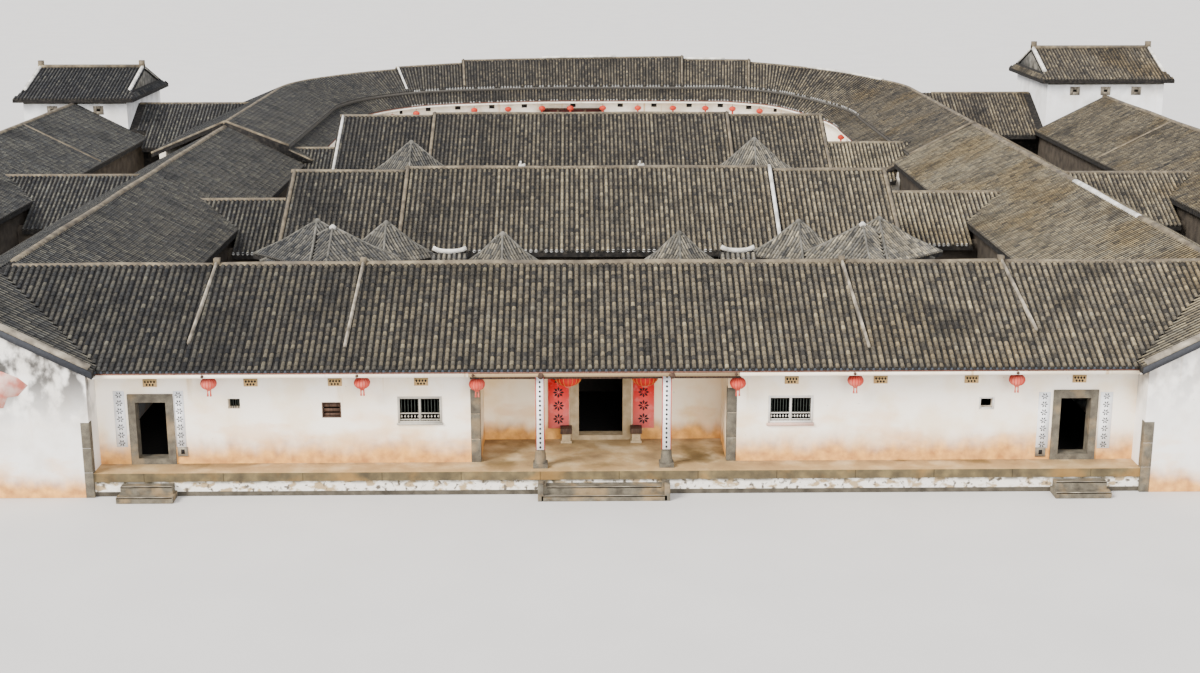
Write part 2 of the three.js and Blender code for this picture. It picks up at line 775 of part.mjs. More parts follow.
function outerWing(end) {
  const slope = wingSlope(OUTER);
  const profile = [OUTER.inner, OUTER.ridge, OUTER.outer, OUTER.zEave, OUTER.zRidge, OUTER.zEave];
  const shell = prismY(gable(...profile), WING_FRONT - 0.25, end);
  const below = prismY(
    underGable(...profile).map(([x, z]) => [x, z > 0 ? z - 0.06 : z]),
    WING_FRONT - 0.25,
    end,
  );
  const wingSolid = prismY(wingEnvelope(1), -3, 60);
  const link = cut(linkRoof(OUTER_FRONT_LINK, 21.6, 32.5), [below, wingSolid]);
  const top = (x) => underside(OUTER.zRidge, slope, x - OUTER.ridge);
  const w = OUTER_WALLS;
  const long = (x0, x1) =>
    prismY(
      [
        [x0, 0],
        [x0, top(x0)],
        [x1, top(x1)],
        [x1, 0],
      ],
      WING_FRONT + 0.1,
      end,
    );
  const front = prismY(
    [
      [w.inner, 0],
      [w.inner, top(w.inner)],
      [OUTER.ridge, top(OUTER.ridge)],
      [w.outer, top(w.outer)],
      [w.outer, 0],
    ],
    WING_FRONT,
    WING_FRONT + WALL_THICK,
  );
  const linkWalls = [-1, 1].map((edge) => {
    const y = OUTER_FRONT_LINK.y + edge * (OUTER_FRONT_LINK.half - 0.55);
    return linkWall(OUTER_FRONT_LINK, WING_WALLS.outer + GAP, w.inner + 0.1, y);
  });
  const eaveZ = OUTER.zEave - ROOF_THICK - GAP;
  const eaveRoom = box(OUTER.inner - GAP, w.inner, 0, end, eaveZ, 9);
  const blank = join([
    front,
    long(w.inner, w.inner + WALL_THICK),
    long(w.outer - WALL_THICK, w.outer),
    ...linkWalls,
  ]);
  return { roof: join([shell, link]), walls: cut(blank, [eaveRoom, wingEaveRoom()]) };
}

function outerWings() {
  for (const { side, sign } of SIDES) {
    const { roof, walls } = outerWing(TOWERS[side].front - GAP);
    place(side + "_outer_wing_roof", sign > 0 ? roof : mirrored(roof), "roof");
    place(side + "_outer_wing_walls", sign > 0 ? walls : mirrored(walls), "plaster");
  }
}

// Horseshoe range

// Height of the lower eave's top at an offset, below an upper eave at the given height
function pentTop(eaveZ, offset) {
  const slope = (PENT.eaveFall - PENT.topFall) / (RING_WALLS.upper - PENT.eave);
  return eaveZ - PENT.topFall - slope * (RING_WALLS.upper - offset);
}

function ringRoofProfile(run, ridges) {
  const z = level(ridges, run);
  const eaveZ = level(RING_EAVE, run);
  const r = RING_ROOF;
  return gable(r.inner, 0, r.outer, eaveZ, z, eaveZ - r.outerFall);
}

function ringInnerProfile(run, ridges) {
  const z = level(ridges, run);
  const eaveZ = level(RING_EAVE, run);
  const w = RING_WALLS;
  const slope = (z - eaveZ) / -RING_ROOF.inner;
  const roofUnder = (r) => underside(z, slope, r) + WALL_RUN;
  return [
    [w.lower, 0],
    [w.lower, pentTop(eaveZ, w.lower) - PENT.thick],
    [PENT.eave, pentTop(eaveZ, PENT.eave) - PENT.thick],
    [PENT.eave, pentTop(eaveZ, PENT.eave)],
    [w.upper, pentTop(eaveZ, w.upper)],
    [w.upper, roofUnder(w.upper)],
    [w.upper + w.thick, roofUnder(w.upper + w.thick)],
    [w.upper + w.thick, pentTop(eaveZ, w.upper) - PENT.thick],
    [w.lower + w.thick, pentTop(eaveZ, w.lower + w.thick) - PENT.thick],
    [w.lower + w.thick, 0],
  ];
}

function ringOuterProfile(run, ridges) {
  const z = level(ridges, run);
  const w = RING_WALLS;
  const slope = (z - level(RING_EAVE, run) + RING_ROOF.outerFall) / RING_ROOF.outer;
  const roofUnder = (r) => underside(z, slope, r) + WALL_RUN;
  return [
    [w.outer - w.thick, 0],
    [w.outer - w.thick, roofUnder(w.outer - w.thick)],
    [w.outer, roofUnder(w.outer)],
    [w.outer, 0],
  ];
}

function horseshoe() {
  const parts = [
    { name: "right", steps: RING_STEPS.slice(0, 2) },
    { name: "centre", steps: RING_STEPS.slice(2, 3) },
    { name: "left", steps: RING_STEPS.slice(3) },
  ];
  const lap = 0.01;
  const pieces = parts.map(({ name, steps }) => {
    const made = steps.map((ridges, i) => {
      const from = ridges[0][0] + (i > 0 ? -lap : GAP);
      const to = ridges[ridges.length - 1][0] + (i < steps.length - 1 ? lap : -GAP);
      const marks = [...ridges, ...RING_EAVE];
      return [ringRoofProfile, ringInnerProfile, ringOuterProfile].map((profile) =>
        ringPiece((run) => profile(run, ridges), from, to, marks),
      );
    });
    const [roof, inner, outer] = [0, 1, 2].map((kind) => join(made.map((solids) => solids[kind])));
    return { name, roof, inner, outer };
  });
  const shifts = [[0, 0], [1, 1], [1, -1], [-1, 1], [-1, -1]];
  const rooms = pieces.flatMap(({ roof }) =>
    shifts.map(([dx, dy]) => roof.translate([dx * GAP, dy * GAP, -GAP])),
  );
  for (const { name, roof, inner, outer } of pieces) {
    place(name + "_curved_roof", roof, "roof");
    place(name + "_curved_inner_wall", cut(inner, [...rooms, redOpening()]), "plaster");
    place(name + "_curved_outer_wall", cut(outer, rooms), "plaster");
  }
}

// The wide opening in the middle of the horseshoe's inner wall
function redOpening() {
  return box(-3.9, 0.6, 60, 68, 1.0, 4.6);
}

function redScreen() {
  const y0 = RING.top + RING_WALLS.lower + 0.05;
  const z0 = 1.0 + GAP;
  const z1 = 4.6 - GAP;
  const posts = [-3.9 + GAP, -2.7, -1.1, 0.4 - GAP].map((x) => box(x, x + 0.2, y0, y0 + 0.16, z0, z1));
  const boards = box(-3.8, 0.5, y0 + 0.06, y0 + 0.1, z0, z1);
  place("rear_red_screen", join([...posts, boards]), "darkRed");
}

// Inner halls

function hallRoof(name, hall, end) {
  const profile = (drop) =>
    gable(
      hall.y - hall.half,
      hall.y,
      hall.y + hall.half,
      hall.zEave - drop,
      hall.zRidge - drop,
      hall.zEave - drop,
    );
  const roof = join([
    prismX(profile(0), end.left, end.right),
    prismX(profile(end.drop), hall.left, end.left + 0.01),
    prismX(profile(end.drop), end.right - 0.01, hall.right),
  ]);
  place(name + "_hall_roof", roof, "roof");
}

function hallWalls(name, hall, end, links, bayTop) {
  const slope = (hall.zRidge - hall.zEave) / hall.half;
  const ridge = hall.zRidge - end.drop;
  const reach = hall.half - 0.75;
  const top = (y) => underside(ridge, slope, y - hall.y);
  const long = (y0, y1) =>
    prismX(
      [
        [y0, 0],
        [y0, top(y0)],
        [y1, top(y1)],
        [y1, 0],
      ],
      hall.left + 0.3,
      hall.right - 0.3,
    );
  const front = hall.y - reach;
  const back = hall.y + reach;
  const gableEnd = (x0, x1) =>
    prismX(
      [
        [front, 0],
        [front, top(front)],
        [hall.y, top(hall.y)],
        [back, top(back)],
        [back, 0],
      ],
      x0,
      x1,
    );
  const linkWalls = SIDES.flatMap(({ side, sign }) => {
    const link = links[side];
    const gableX = hall[side] - sign * 0.3;
    const ends = [gableX - sign * WALL_THICK, gableX].sort((a, b) => a - b);
    const run = [gableX - sign * 0.1, sign * (FRONT_HALF_LENGTH - GAP)].sort((a, b) => a - b);
    const rows = [-1, 1].map((edge) => link.y + edge * (link.half - 0.6));
    const returnWall = box(...ends, back - 0.1, rows[1] + 0.15, 0, 9);
    const returnTop = join([
      linkWall(link, ...ends, link.y, link.half - 0.45),
      prismX(
        [
          [back - 0.2, -1],
          [back - 0.2, link.zEave - ROOF_THICK],
          [link.y, link.zEave - ROOF_THICK],
          [link.y, -1],
        ],
        ...ends,
      ),
    ]);
    return [returnWall.intersect(returnTop), ...rows.map((y) => linkWall(link, ...run, y))];
  });
  const walls = join([
    long(front, front + WALL_THICK),
    long(back - WALL_THICK, back),
    gableEnd(hall.left + 0.3, hall.left + 0.3 + WALL_THICK),
    gableEnd(hall.right - 0.3 - WALL_THICK, hall.right - 0.3),
    ...linkWalls,
  ]);
  const bays = [box(COURT.left, COURT.right, front - 1, front + 1, -1, bayTop)];
  if (name === "middle") bays.push(box(COURT.left, COURT.right, back - 1, back + 1, -1, bayTop));
  const tail = RING.ridge + RING_WALLS.lower - GAP;
  const tails = [
    [tail, 30],
    [-30, -tail],
  ].map(([x0, x1]) => box(x0, x1, WING_END, 60, -1, 9));
  place(name + "_hall_walls", cut(walls, [...bays, ...tails, wingEaveRoom()]), "plaster");
}

// Corner towers

function hipGable({ left, right, front, back, zEave, zRidge }) {
  const x0 = left - TOWER_OVERHANG;
  const x1 = right + TOWER_OVERHANG;
  const y0 = front - TOWER_OVERHANG;
  const y1 = back + TOWER_OVERHANG;
  const middle = (y0 + y1) / 2;
  const bottom = zEave - ROOF_THICK;
  const { inset, rise } = TOWER_SKIRT;
  const wedge = (from, to) =>
    prismX(
      [
        [y0, bottom],
        [y0, zEave],
        [middle, zRidge],
        [y1, zEave],
        [y1, bottom],
      ],
      from,
      to,
    );
  const skirt = prismY(
    [
      [x0, bottom],
      [x0, zEave],
      [x0 + inset, zEave + rise],
      [x1 - inset, zEave + rise],
      [x1, zEave],
      [x1, bottom],
    ],
    y0 - 1,
    y1 + 1,
  );
  return wedge(x0 + inset, x1 - inset).add(wedge(x0, x1).intersect(skirt));
}

// The cap along a tower's ridge, with a small upright at each end
function towerCap({ left, right, front, back, zRidge }) {
  const middle = (front + back) / 2;
  const x0 = left - TOWER_OVERHANG + TOWER_SKIRT.inset;
  const x1 = right + TOWER_OVERHANG - TOWER_SKIRT.inset;
  const { half, height, finial } = TOWER_CAP;
  const foot = zRidge - 0.1;
  return join([
    box(x0, x1, middle - half, middle + half, foot, zRidge + height),
    box(x0, x0 + 0.3, middle - 0.1, middle + 0.1, foot, zRidge + height + finial),
    box(x1 - 0.3, x1, middle - 0.1, middle + 0.1, foot, zRidge + height + finial),
  ]);
}

function towers() {
  for (const { side, sign } of SIDES) {
    const tower = TOWERS[side];
    const { left, right, front, back, zEave } = tower;
    const roofSolid = hipGable(tower);
    const shell = roofSolid.subtract(roofSolid.translate([0, 0, -ROOF_THICK]));
    const roof = shell.add(towerCap(tower));
    const thick = 0.35;
    const blank = box(left, right, front, back, 0, 11);
    const room = box(left + thick, right - thick, front + thick, back - thick, -1, 12);
    const holes = [left + 1.8, (left + right) / 2, right - 1.8].map((x) =>
      box(x - 0.25, x + 0.25, front - 1, front + 1, zEave - 0.9, zEave - 0.6),
    );
    const under = roofSolid.translate([0, 0, -ROOF_THICK - GAP]);
    const storeys = box(left - 1, right + 1, front - 1, back + 1, -1, zEave - 0.2);
    const walls = cut(blank, [room, ...holes]).intersect(under.add(storeys));
    place(side + "_tower_roof", sign > 0 ? roof : mirrored(roof), "roof");
    place(side + "_tower_walls", sign > 0 ? walls : mirrored(walls), "plaster");
  }
}

// The roofed passages from the horseshoe to the towers
function outerRearLinks() {
  const lift = GAP * 1.5;
  const edge = RING_ROOF.outer + GAP;
  const underRing = (ridges) => (run) => {
    const eaveZ = level(RING_EAVE, run) + lift;
    return [
      [-6, -1],
      [-6, eaveZ],
      [0, level(ridges, run) + lift],
      [edge, eaveZ - RING_ROOF.outerFall],
      [edge, -1],
    ];
  };
  const ringSolid = (ridges, from, to) => ringPiece(underRing(ridges), from, to, [...ridges, ...RING_EAVE]);
  const ringSides = {
    right: ringSolid(RING_STEPS[0], -TAIL_RUN, 14),
    left: mirrored(ringSolid(RING_STEPS[4], RING_RUN - 12, RING_RUN + TAIL_RUN)),
  };
  for (const { side, sign } of SIDES) {
    const link = OUTER_REAR_LINK[side];
    const tower = TOWERS[side];
    const end = tower.left - GAP;
    const roof = linkRoof(link, 21.9, end);
    const walls = [-1, 1].map((edge) => linkWall(link, 22, end, link.y + edge * (link.half - 1.6)));
    const wingEnd = box(OUTER.inner - GAP, 40, 30, tower.front, -1, 9);
    const eaveRoom = box(
      tower.left - TOWER_OVERHANG - GAP,
      40,
      tower.front - TOWER_OVERHANG - GAP,
      tower.back + TOWER_OVERHANG + GAP,
      tower.zEave - ROOF_THICK - GAP,
      12,
    );
    const raised = walls.map((wall) => wall.add(wall.translate([0, 0, 0.05])));
    const all = cut(join([roof, ...raised]), [ringSides[side], wingEnd, eaveRoom]);
    place(side + "_tower_link", sign > 0 ? all : mirrored(all), "roof");
  }
}

// Pavilions in the courts

function courtGroup(name, specs, x0, x1, gateX, passageX) {
  const { y, top, thick, gateTop, gateHalf } = COURT_WALL;
  const wall = box(x0, x1, y - thick / 2, y + thick / 2, 0, top);
  const gateBody = box(gateX - 0.55, gateX + 0.55, y - thick / 2, y + thick / 2, 0, gateTop - 0.18);
  const gateEave = gateTop - 0.32;
  const gateProfile = gable(y - 0.6, y, y + 0.6, gateEave, gateTop, gateEave, 0.14);
  const gateRoof = prismX(gateProfile, gateX - gateHalf, gateX + gateHalf);
  const frontWallBack = FRONT_REAR_WALL + WALL_THICK + GAP;
  const passage = box(passageX - 0.12, passageX + 0.12, frontWallBack, y, 0, 3.9);
  place(name, join([...specs.map((s) => pavilion(s)), wall, gateBody, gateRoof, passage]), "roof");
}

function pavilions() {
  courtGroup("left_court_pavilions", FRONT_PAVILIONS_LEFT, -12.4, -3.3, -6.35, -11.2);
  courtGroup("right_court_pavilions", FRONT_PAVILIONS_RIGHT, 1.7, 11.4, 4.95, 10.15);
  const from = MIDDLE.y + MIDDLE.half - 0.75 + GAP;
  const to = REAR.y - REAR.half + 0.75 - GAP;
  for (const spec of REAR_PAVILIONS) {
    const walls = [-1, 1].map((side) => {
      const x = spec.x + side * 1.5;
      return box(x - 0.12, x + 0.12, from, to, 0, 4.3);
    });
    const out = spec.reach - POST_INSET;
    const lintels = [[-out, 1.6], [0, out + 0.1], [out, 1.6]].map(([offset, half]) => {
      const y = spec.y + offset;
      return box(spec.x - half, spec.x + half, y - 0.1, y + 0.1, 4.0, 4.25);
    });
    place(spec.name + "_rear_pavilion", join([pavilion(spec), ...walls, ...lintels]), "roof");
  }
}

platform();
steps();
frontWalls();
porchWalls();
porchColumns();
eaveLanterns();
frontRoof();
frontRearWall();
sideWings();
outerWings();
horseshoe();
redScreen();
hallRoof("middle", MIDDLE, MIDDLE_END);
hallWalls("middle", MIDDLE, MIDDLE_END, FRONT_LINK, 3.8);
hallRoof("rear", REAR, REAR_END);
hallWalls("rear", REAR, REAR_END, REAR_LINK, 4.2);
towers();
outerRearLinks();
pavilions();

house.scale.setScalar(MODEL_MM_PER_METRE);
house.position.set(0, -MIDDLE_OF_DEPTH * MODEL_MM_PER_METRE, 0);

export default house;
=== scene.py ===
"""Dresses the walled house: tile rows, ridges, plaster, stone, windows and lanterns round its frame.

All sizes are real metres, as on the house itself. SCALE and MIDDLE turn them into the half-size frame:
x runs along the front, y to the back from the face of the front wall, z up from the ground.
"""
import json
import math

import bpy
import numpy as np
from mathutils import Matrix, Vector

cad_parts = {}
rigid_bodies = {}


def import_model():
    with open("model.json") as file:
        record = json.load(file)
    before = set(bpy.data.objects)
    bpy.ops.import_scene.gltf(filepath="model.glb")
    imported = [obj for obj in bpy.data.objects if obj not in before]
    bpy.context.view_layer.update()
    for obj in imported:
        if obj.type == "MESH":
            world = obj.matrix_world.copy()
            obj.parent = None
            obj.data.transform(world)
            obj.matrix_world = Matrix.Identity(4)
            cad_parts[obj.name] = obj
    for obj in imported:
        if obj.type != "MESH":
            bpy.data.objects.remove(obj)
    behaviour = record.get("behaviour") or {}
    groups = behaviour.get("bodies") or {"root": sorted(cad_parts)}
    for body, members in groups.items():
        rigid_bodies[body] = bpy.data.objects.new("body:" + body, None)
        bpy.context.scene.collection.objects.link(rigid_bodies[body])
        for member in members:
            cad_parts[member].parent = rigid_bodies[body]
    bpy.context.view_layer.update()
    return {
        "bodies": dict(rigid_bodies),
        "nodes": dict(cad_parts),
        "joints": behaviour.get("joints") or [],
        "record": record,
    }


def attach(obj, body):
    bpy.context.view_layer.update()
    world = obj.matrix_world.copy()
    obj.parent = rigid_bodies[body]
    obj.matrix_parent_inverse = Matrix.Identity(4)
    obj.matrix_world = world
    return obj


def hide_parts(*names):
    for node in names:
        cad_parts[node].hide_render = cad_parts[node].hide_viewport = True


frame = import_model()

SCALE = 0.5
MIDDLE = 36.4
random = np.random.default_rng(11)

SIDES = ((-1, "left"), (1, "right"))

# Driving sizes of the frame
FLOOR = 0.82
FRONT = {"ridge_y": 4.1, "ridge_z": 6.75, "half": 5.0, "eave_z": 4.25, "reach": 21.2, "wall": 17.25}
PORCH = {"left": -4.9, "right": 3.92, "back": 2.4}
WING = {"inner": 16.95, "ridge": 21.4, "outer": 25.85, "eave_z": 4.35, "ridge_z": 6.6}
WING_FRONT, WING_END, WING_SLOPE = -1.25, 42.0, 0.5056
OUTER = {"inner": 28.6, "ridge": 33.05, "outer": 37.5, "eave_z": 4.45, "ridge_z": 6.7}
# Horseshoe: places along its ridge are the run from the start of the right corner arc
RING_RIDGE, RING_TOP, RING_CORNER, RING_FLAT = 21.4, 70.1, 10.0, math.radians(6)
CORNER_X = RING_RIDGE - RING_CORNER
FLAT_RADIUS = RING_CORNER + CORNER_X / math.sin(RING_FLAT)
FLAT_Y = RING_TOP - FLAT_RADIUS
TAIL_END = FLAT_Y + (FLAT_RADIUS - RING_CORNER) * math.cos(RING_FLAT)
CORNER_RUN = RING_CORNER * (math.pi / 2 - RING_FLAT)
RING_RUN = 2 * CORNER_RUN + 2 * FLAT_RADIUS * RING_FLAT
TAIL_RUN = TAIL_END - WING_END
RING_STEPS = [[(-TAIL_RUN, 6.7), (0, 6.7), (5.7, 6.85), (15.7, 7.6)], [(15.7, 7.76), (20.6, 7.8)],
              [(20.6, 8.0), (36.9, 7.77)], [(36.9, 7.56), (41.7, 7.34)],
              [(41.7, 7.18), (47, 6.97), (RING_RUN, 6.84), (RING_RUN + TAIL_RUN, 6.84)]]
RING_EAVE = [(0, 4.85), (7.5, 5.35), (12.5, 5.85), (17.5, 6.2), (31, 6.2), (37.5, 6.08), (44, 5.82),
             (50, 5.6), (RING_RUN, 5.45)]
RING_INNER, RING_OUTER, RING_OUTER_FALL = -3.55, 4.3, 0.4
PENT_EAVE, PENT_TOP, PENT_EAVE_FALL, PENT_TOP_FALL = -4.9, -3.1, 0.87, 0.05
RING_WALL = -4.25
MIDDLE_HALL = {"y": 19.9, "half": 5.3, "ridge_z": 7.65, "eave_z": 4.94, "left": -13.9, "right": 12.35,
               "low_left": -8.9, "low_right": 7.26, "drop": 0.14}
REAR_HALL = {"y": 35.6, "half": 5.1, "ridge_z": 8.1, "eave_z": 5.6, "left": -13.9, "right": 11.75,
             "low_left": -9.0, "low_right": 6.76, "drop": 0.12}
FRONT_LINK = {"left": {"y": 24.7, "half": 3.75, "ridge_z": 5.42, "eave_z": 3.54},
              "right": {"y": 26.0, "half": 3.75, "ridge_z": 5.45, "eave_z": 3.57}}
REAR_LINK = {"left": {"y": 43.4, "half": 3.6, "ridge_z": 5.15, "eave_z": 3.4},
             "right": {"y": 44.8, "half": 3.6, "ridge_z": 5.2, "eave_z": 3.45}}
OUTER_FRONT_LINK = {"y": 31.8, "half": 4.1, "ridge_z": 5.45, "eave_z": 3.4}
OUTER_REAR_LINK = {"left": {"y": 55.6, "half": 4.6, "ridge_z": 6.35, "eave_z": 4.05},
                   "right": {"y": 59.3, "half": 4.6, "ridge_z": 6.5, "eave_z": 4.2}}
# Tower roofs: the eave's nearest and farthest x, its front and back y, and the walls' front face
TOWERS = {
    "left": {"x0": 29.3, "x1": 36.8, "y0": 52.2, "y1": 61.8, "eave_z": 7.0, "ridge_z": 8.55, "wall": 52.7},
    "right": {"x0": 28.8, "x1": 37.4, "y0": 54.7, "y1": 63.3, "eave_z": 7.8, "ridge_z": 9.5, "wall": 55.2},
}
SKIRT, SKIRT_RISE = 0.32, 0.4
# Pavilion roofs: x, y, top, distance from the centre to a corner, eave
COURT_PAVILIONS = [
    (-10.9, 11.25, 6.62, 2.92, 5.3), (-11.6, 11.9, 6.75, 2.6, 5.45), (-8.95, 12.48, 6.55, 2.0, 5.2),
    (-4.3, 11.9, 6.2, 1.65, 4.95), (9.85, 11.25, 6.66, 2.92, 5.3), (10.6, 11.85, 6.78, 2.6, 5.45),
    (7.5, 12.48, 6.55, 2.0, 5.2), (2.7, 11.9, 6.2, 1.65, 4.95),
]
REAR_PAVILIONS = [(-9.4, 27.85, 7.62, 2.6, 5.78), (7.3, 27.85, 7.72, 2.6, 5.8)]
GATES = [(-6.35, 11.1, 5.65), (4.95, 11.1, 5.65)]

# Tiles: spacing of the rows, length of a tile near the viewer, farther off and out of sight
PITCH, SMALL_PITCH = 0.212, 0.15
TILE, FAR_TILE, HIDDEN_TILE = 0.21, 0.25, 0.5
RIDGE_GAP = 0.1
# Their radius, and round the barrel from flank to flank the angles of its edges and the tones between them;
# the darker flank tones are painted shade between the rows
BARREL, SMALL_BARREL = 0.083, 0.066
NEAR_ANGLES, NEAR_FLANK_SHADE = np.radians([0, 40, 90, 140, 180]), np.array([0.55, 1.0, 1.0, 0.55])
FAR_ANGLES, FAR_FLANK_SHADE = np.radians([0, 58, 122, 180]), np.array([0.6, 1.0, 0.6])
SIDEWAYS_FLANK_SHADE = np.array([0.3, 1.0, 0.3])
# Tile rows end here, just inside the eaves of the outer wings
HIDDEN_X = 37.42
UP = np.array([0, 0, 1.0])


def linear(hex_colour):
    """The linear colour of a #rrggbb as it looks on a screen."""
    parts = [int(hex_colour[i:i + 2], 16) / 255 for i in (1, 3, 5)]
    return [c / 12.92 if c <= 0.04045 else ((c + 0.055) / 1.055) ** 2.4 for c in parts] + [1.0]


class Shader:
    """A procedural material, put together with short calls; positions are in real metres."""

    def __init__(self, name, roughness=0.9):
        self.material = bpy.data.materials.new(name)
        self.material.use_nodes = True
        self.tree = self.material.node_tree
        self.surface = self.tree.nodes["Principled BSDF"]
        self.surface.inputs["Roughness"].default_value = roughness
        self.surface.inputs["Specular IOR Level"].default_value = 0.25
        coordinates = self.node("ShaderNodeTexCoord")
        mapping = self.node("ShaderNodeMapping")
        mapping.inputs["Scale"].default_value = (1 / SCALE,) * 3
        mapping.inputs["Location"].default_value = (0, MIDDLE, 0)
        self.link(coordinates.outputs["Object"], mapping.inputs["Vector"])
        self.place = mapping.outputs["Vector"]
        split = self.node("ShaderNodeSeparateXYZ")
        self.link(self.place, split.inputs[0])
        self.x, self.y, self.z = split.outputs

    def node(self, kind):
        return self.tree.nodes.new(kind)

    def link(self, start, end):
        self.tree.links.new(start, end)

    def feed(self, socket, value):
        if isinstance(value, bpy.types.NodeSocket):
            self.link(value, socket)
        elif isinstance(value, str):
            socket.default_value = linear(value)
        else:
            socket.default_value = value

    def noise(self, scale, detail=4, stretch=(1, 1, 1), shift=0.0, contrast=None):
        stretched = self.node("ShaderNodeMapping")
        stretched.inputs["Scale"].default_value = stretch
        stretched.inputs["Location"].default_value = (shift, shift * 1.7, shift * 0.6)
        self.link(self.place, stretched.inputs["Vector"])
        texture = self.node("ShaderNodeTexNoise")
        texture.inputs["Scale"].default_value = scale
        texture.inputs["Detail"].default_value = detail
        self.link(stretched.outputs["Vector"], texture.inputs["Vector"])
        value = texture.outputs[0]
        return value if contrast is None else self.fade(value, *contrast)

    def fade(self, value, low, high):
        """0 below low and 1 above high, or the other way round, with a soft step between."""
        node = self.node("ShaderNodeMapRange")
        node.interpolation_type = "SMOOTHSTEP"
        turned = low > high
        self.feed(node.inputs["Value"], value)
        node.inputs["From Min"].default_value = min(low, high)
        node.inputs["From Max"].default_value = max(low, high)
        node.inputs["To Min"].default_value = 1.0 if turned else 0.0
        node.inputs["To Max"].default_value = 0.0 if turned else 1.0
        return node.outputs[0]

    def maths(self, kind, a, b=0.0):
        node = self.node("ShaderNodeMath")
        node.operation = kind
        self.feed(node.inputs[0], a)
        self.feed(node.inputs[1], b)
        return node.outputs[0]

    def times(self, *values):
        made = values[0]
        for value in values[1:]:
            made = self.maths("MULTIPLY", made, value)
        return made

    def mix(self, amount, a, b, kind="MIX"):
        node = self.node("ShaderNodeMix")
        node.data_type = "RGBA"
        node.blend_type = kind
        self.feed(node.inputs[0], amount)
        self.feed(node.inputs[6], a)
        self.feed(node.inputs[7], b)
        return node.outputs[2]

    def stain(self, colour, other, where, share, kind="MIX"):
        """The colour turned towards another one, by a share of where, a value from 0 to 1."""
        return self.mix(self.maths("MULTIPLY", where, share), colour, other, kind)

    def ramp(self, value, stops):
        node = self.node("ShaderNodeValToRGB")
        elements = node.color_ramp.elements
        while len(elements) < len(stops):
            elements.new(0.5)
        for element, (position, colour) in zip(elements, stops):
            element.position = position
            element.color = linear(colour)
        self.feed(node.inputs[0], value)
        return node.outputs[0]

    def tone(self):
        node = self.node("ShaderNodeAttribute")
        node.attribute_name = "tone"
        return node.outputs["Fac"]

    def bump(self, height, depth, strength=1.0):
        node = self.node("ShaderNodeBump")
        node.inputs["Strength"].default_value = strength
        node.inputs["Distance"].default_value = depth * SCALE
        self.feed(node.inputs["Height"], height)
        self.link(node.outputs[0], self.surface.inputs["Normal"])

    def colour(self, value):
        self.feed(self.surface.inputs["Base Color"], value)
        return self.material


# Materials

# Tints from left to right across the house: partly the tiles' own weathering, partly painted light, darker on
# the left and lighter on the right
TILE_TINTS_AND_LIGHT = [(0.2, "#8c8f94"), (0.33, "#878684"), (0.45, "#bcb4a5"), (0.68, "#dfd5c2"), (0.8, "#d2c8b6")]
TINT_REACH = 40.0


def tile_material(name, stops):
    """Weathered tiles, each with its own tone: cooler and darker on the left, yellower and lighter on the
    right, partly weathering and partly painted light across the house.
    """
    s = Shader(name, 0.92)
    grain, tone = s.noise(9, 5), s.tone()
    value = s.maths("ADD", tone, s.maths("MULTIPLY", s.maths("SUBTRACT", grain, 0.5), 0.5))
    colour = s.ramp(value, stops)
    pick = s.node("ShaderNodeTexWhiteNoise")
    pick.noise_dimensions = "1D"
    s.link(tone, pick.inputs["W"])
    cool = s.fade(pick.outputs["Value"], 0.45, 0.8)
    colour = s.stain(colour, s.mix(1.0, colour, "#c2cbe0", "MULTIPLY"), cool, 0.75)
    colour = s.stain(colour, "#242322", s.noise(0.42, 3, contrast=(0.52, 0.7)), 0.6)
    sallow = s.times(s.noise(0.3, 4, (1, 1, 1), 11.0, (0.48, 0.7)), s.fade(s.x, 0.0, 20.0))
    colour = s.stain(colour, "#f0dcae", sallow, 0.6, "MULTIPLY")
    specks = s.times(s.noise(26, 2, contrast=(0.6, 0.72)), s.fade(tone, 0.2, 0.4))
    colour = s.stain(colour, "#c9c4b2", specks, 0.4)
    # Across the house from left to right: partly weathering, partly painted light
    across = s.maths("DIVIDE", s.maths("ADD", s.x, TINT_REACH), 2 * TINT_REACH)
    colour = s.mix(1.0, colour, s.ramp(across, TILE_TINTS_AND_LIGHT), "MULTIPLY")
    s.bump(grain, 0.012, 0.5)
    return s.colour(colour)


TILE_STOPS = [(0.05, "#2b2a29"), (0.3, "#4b4843"), (0.5, "#716b60"), (0.72, "#968d79"), (0.92, "#bbb39a")]
PALE_STOPS = [(0.05, "#38393a"), (0.3, "#5f5f5e"), (0.5, "#817f79"), (0.72, "#a19d92"), (0.92, "#c4bead")]


# Near-black pans between the barrel rows: dirt, and painted shade in the valleys between the barrels
def pan_dirt_and_shade_material():
    s = Shader("roof_pans_dirt_and_shade", 0.95)
    colour = s.ramp(s.noise(6, 5), [(0.3, "#100f0e"), (0.55, "#221f1c"), (0.75, "#3a352e")])
    s.bump(s.noise(14, 3), 0.01, 0.5)
    return s.colour(colour)


def mortar_material(name, stops, moss=0.5):
    s = Shader(name, 0.95)
    colour = s.ramp(s.noise(2.6, 6), stops)
    colour = s.stain(colour, "#4f4a43", s.noise(0.9, 5, shift=3.0, contrast=(0.5, 0.64)), moss)
    s.bump(s.noise(11, 5), 0.02, 0.7)
    return s.colour(colour)


DAMP_STOPS = [(0.3, "#ab6f2c"), (0.7, "#e8a84f")]
SHADED_STOPS = [(0.3, "#302a24"), (0.7, "#4c443a")]
OUTER_FACE = 36.8


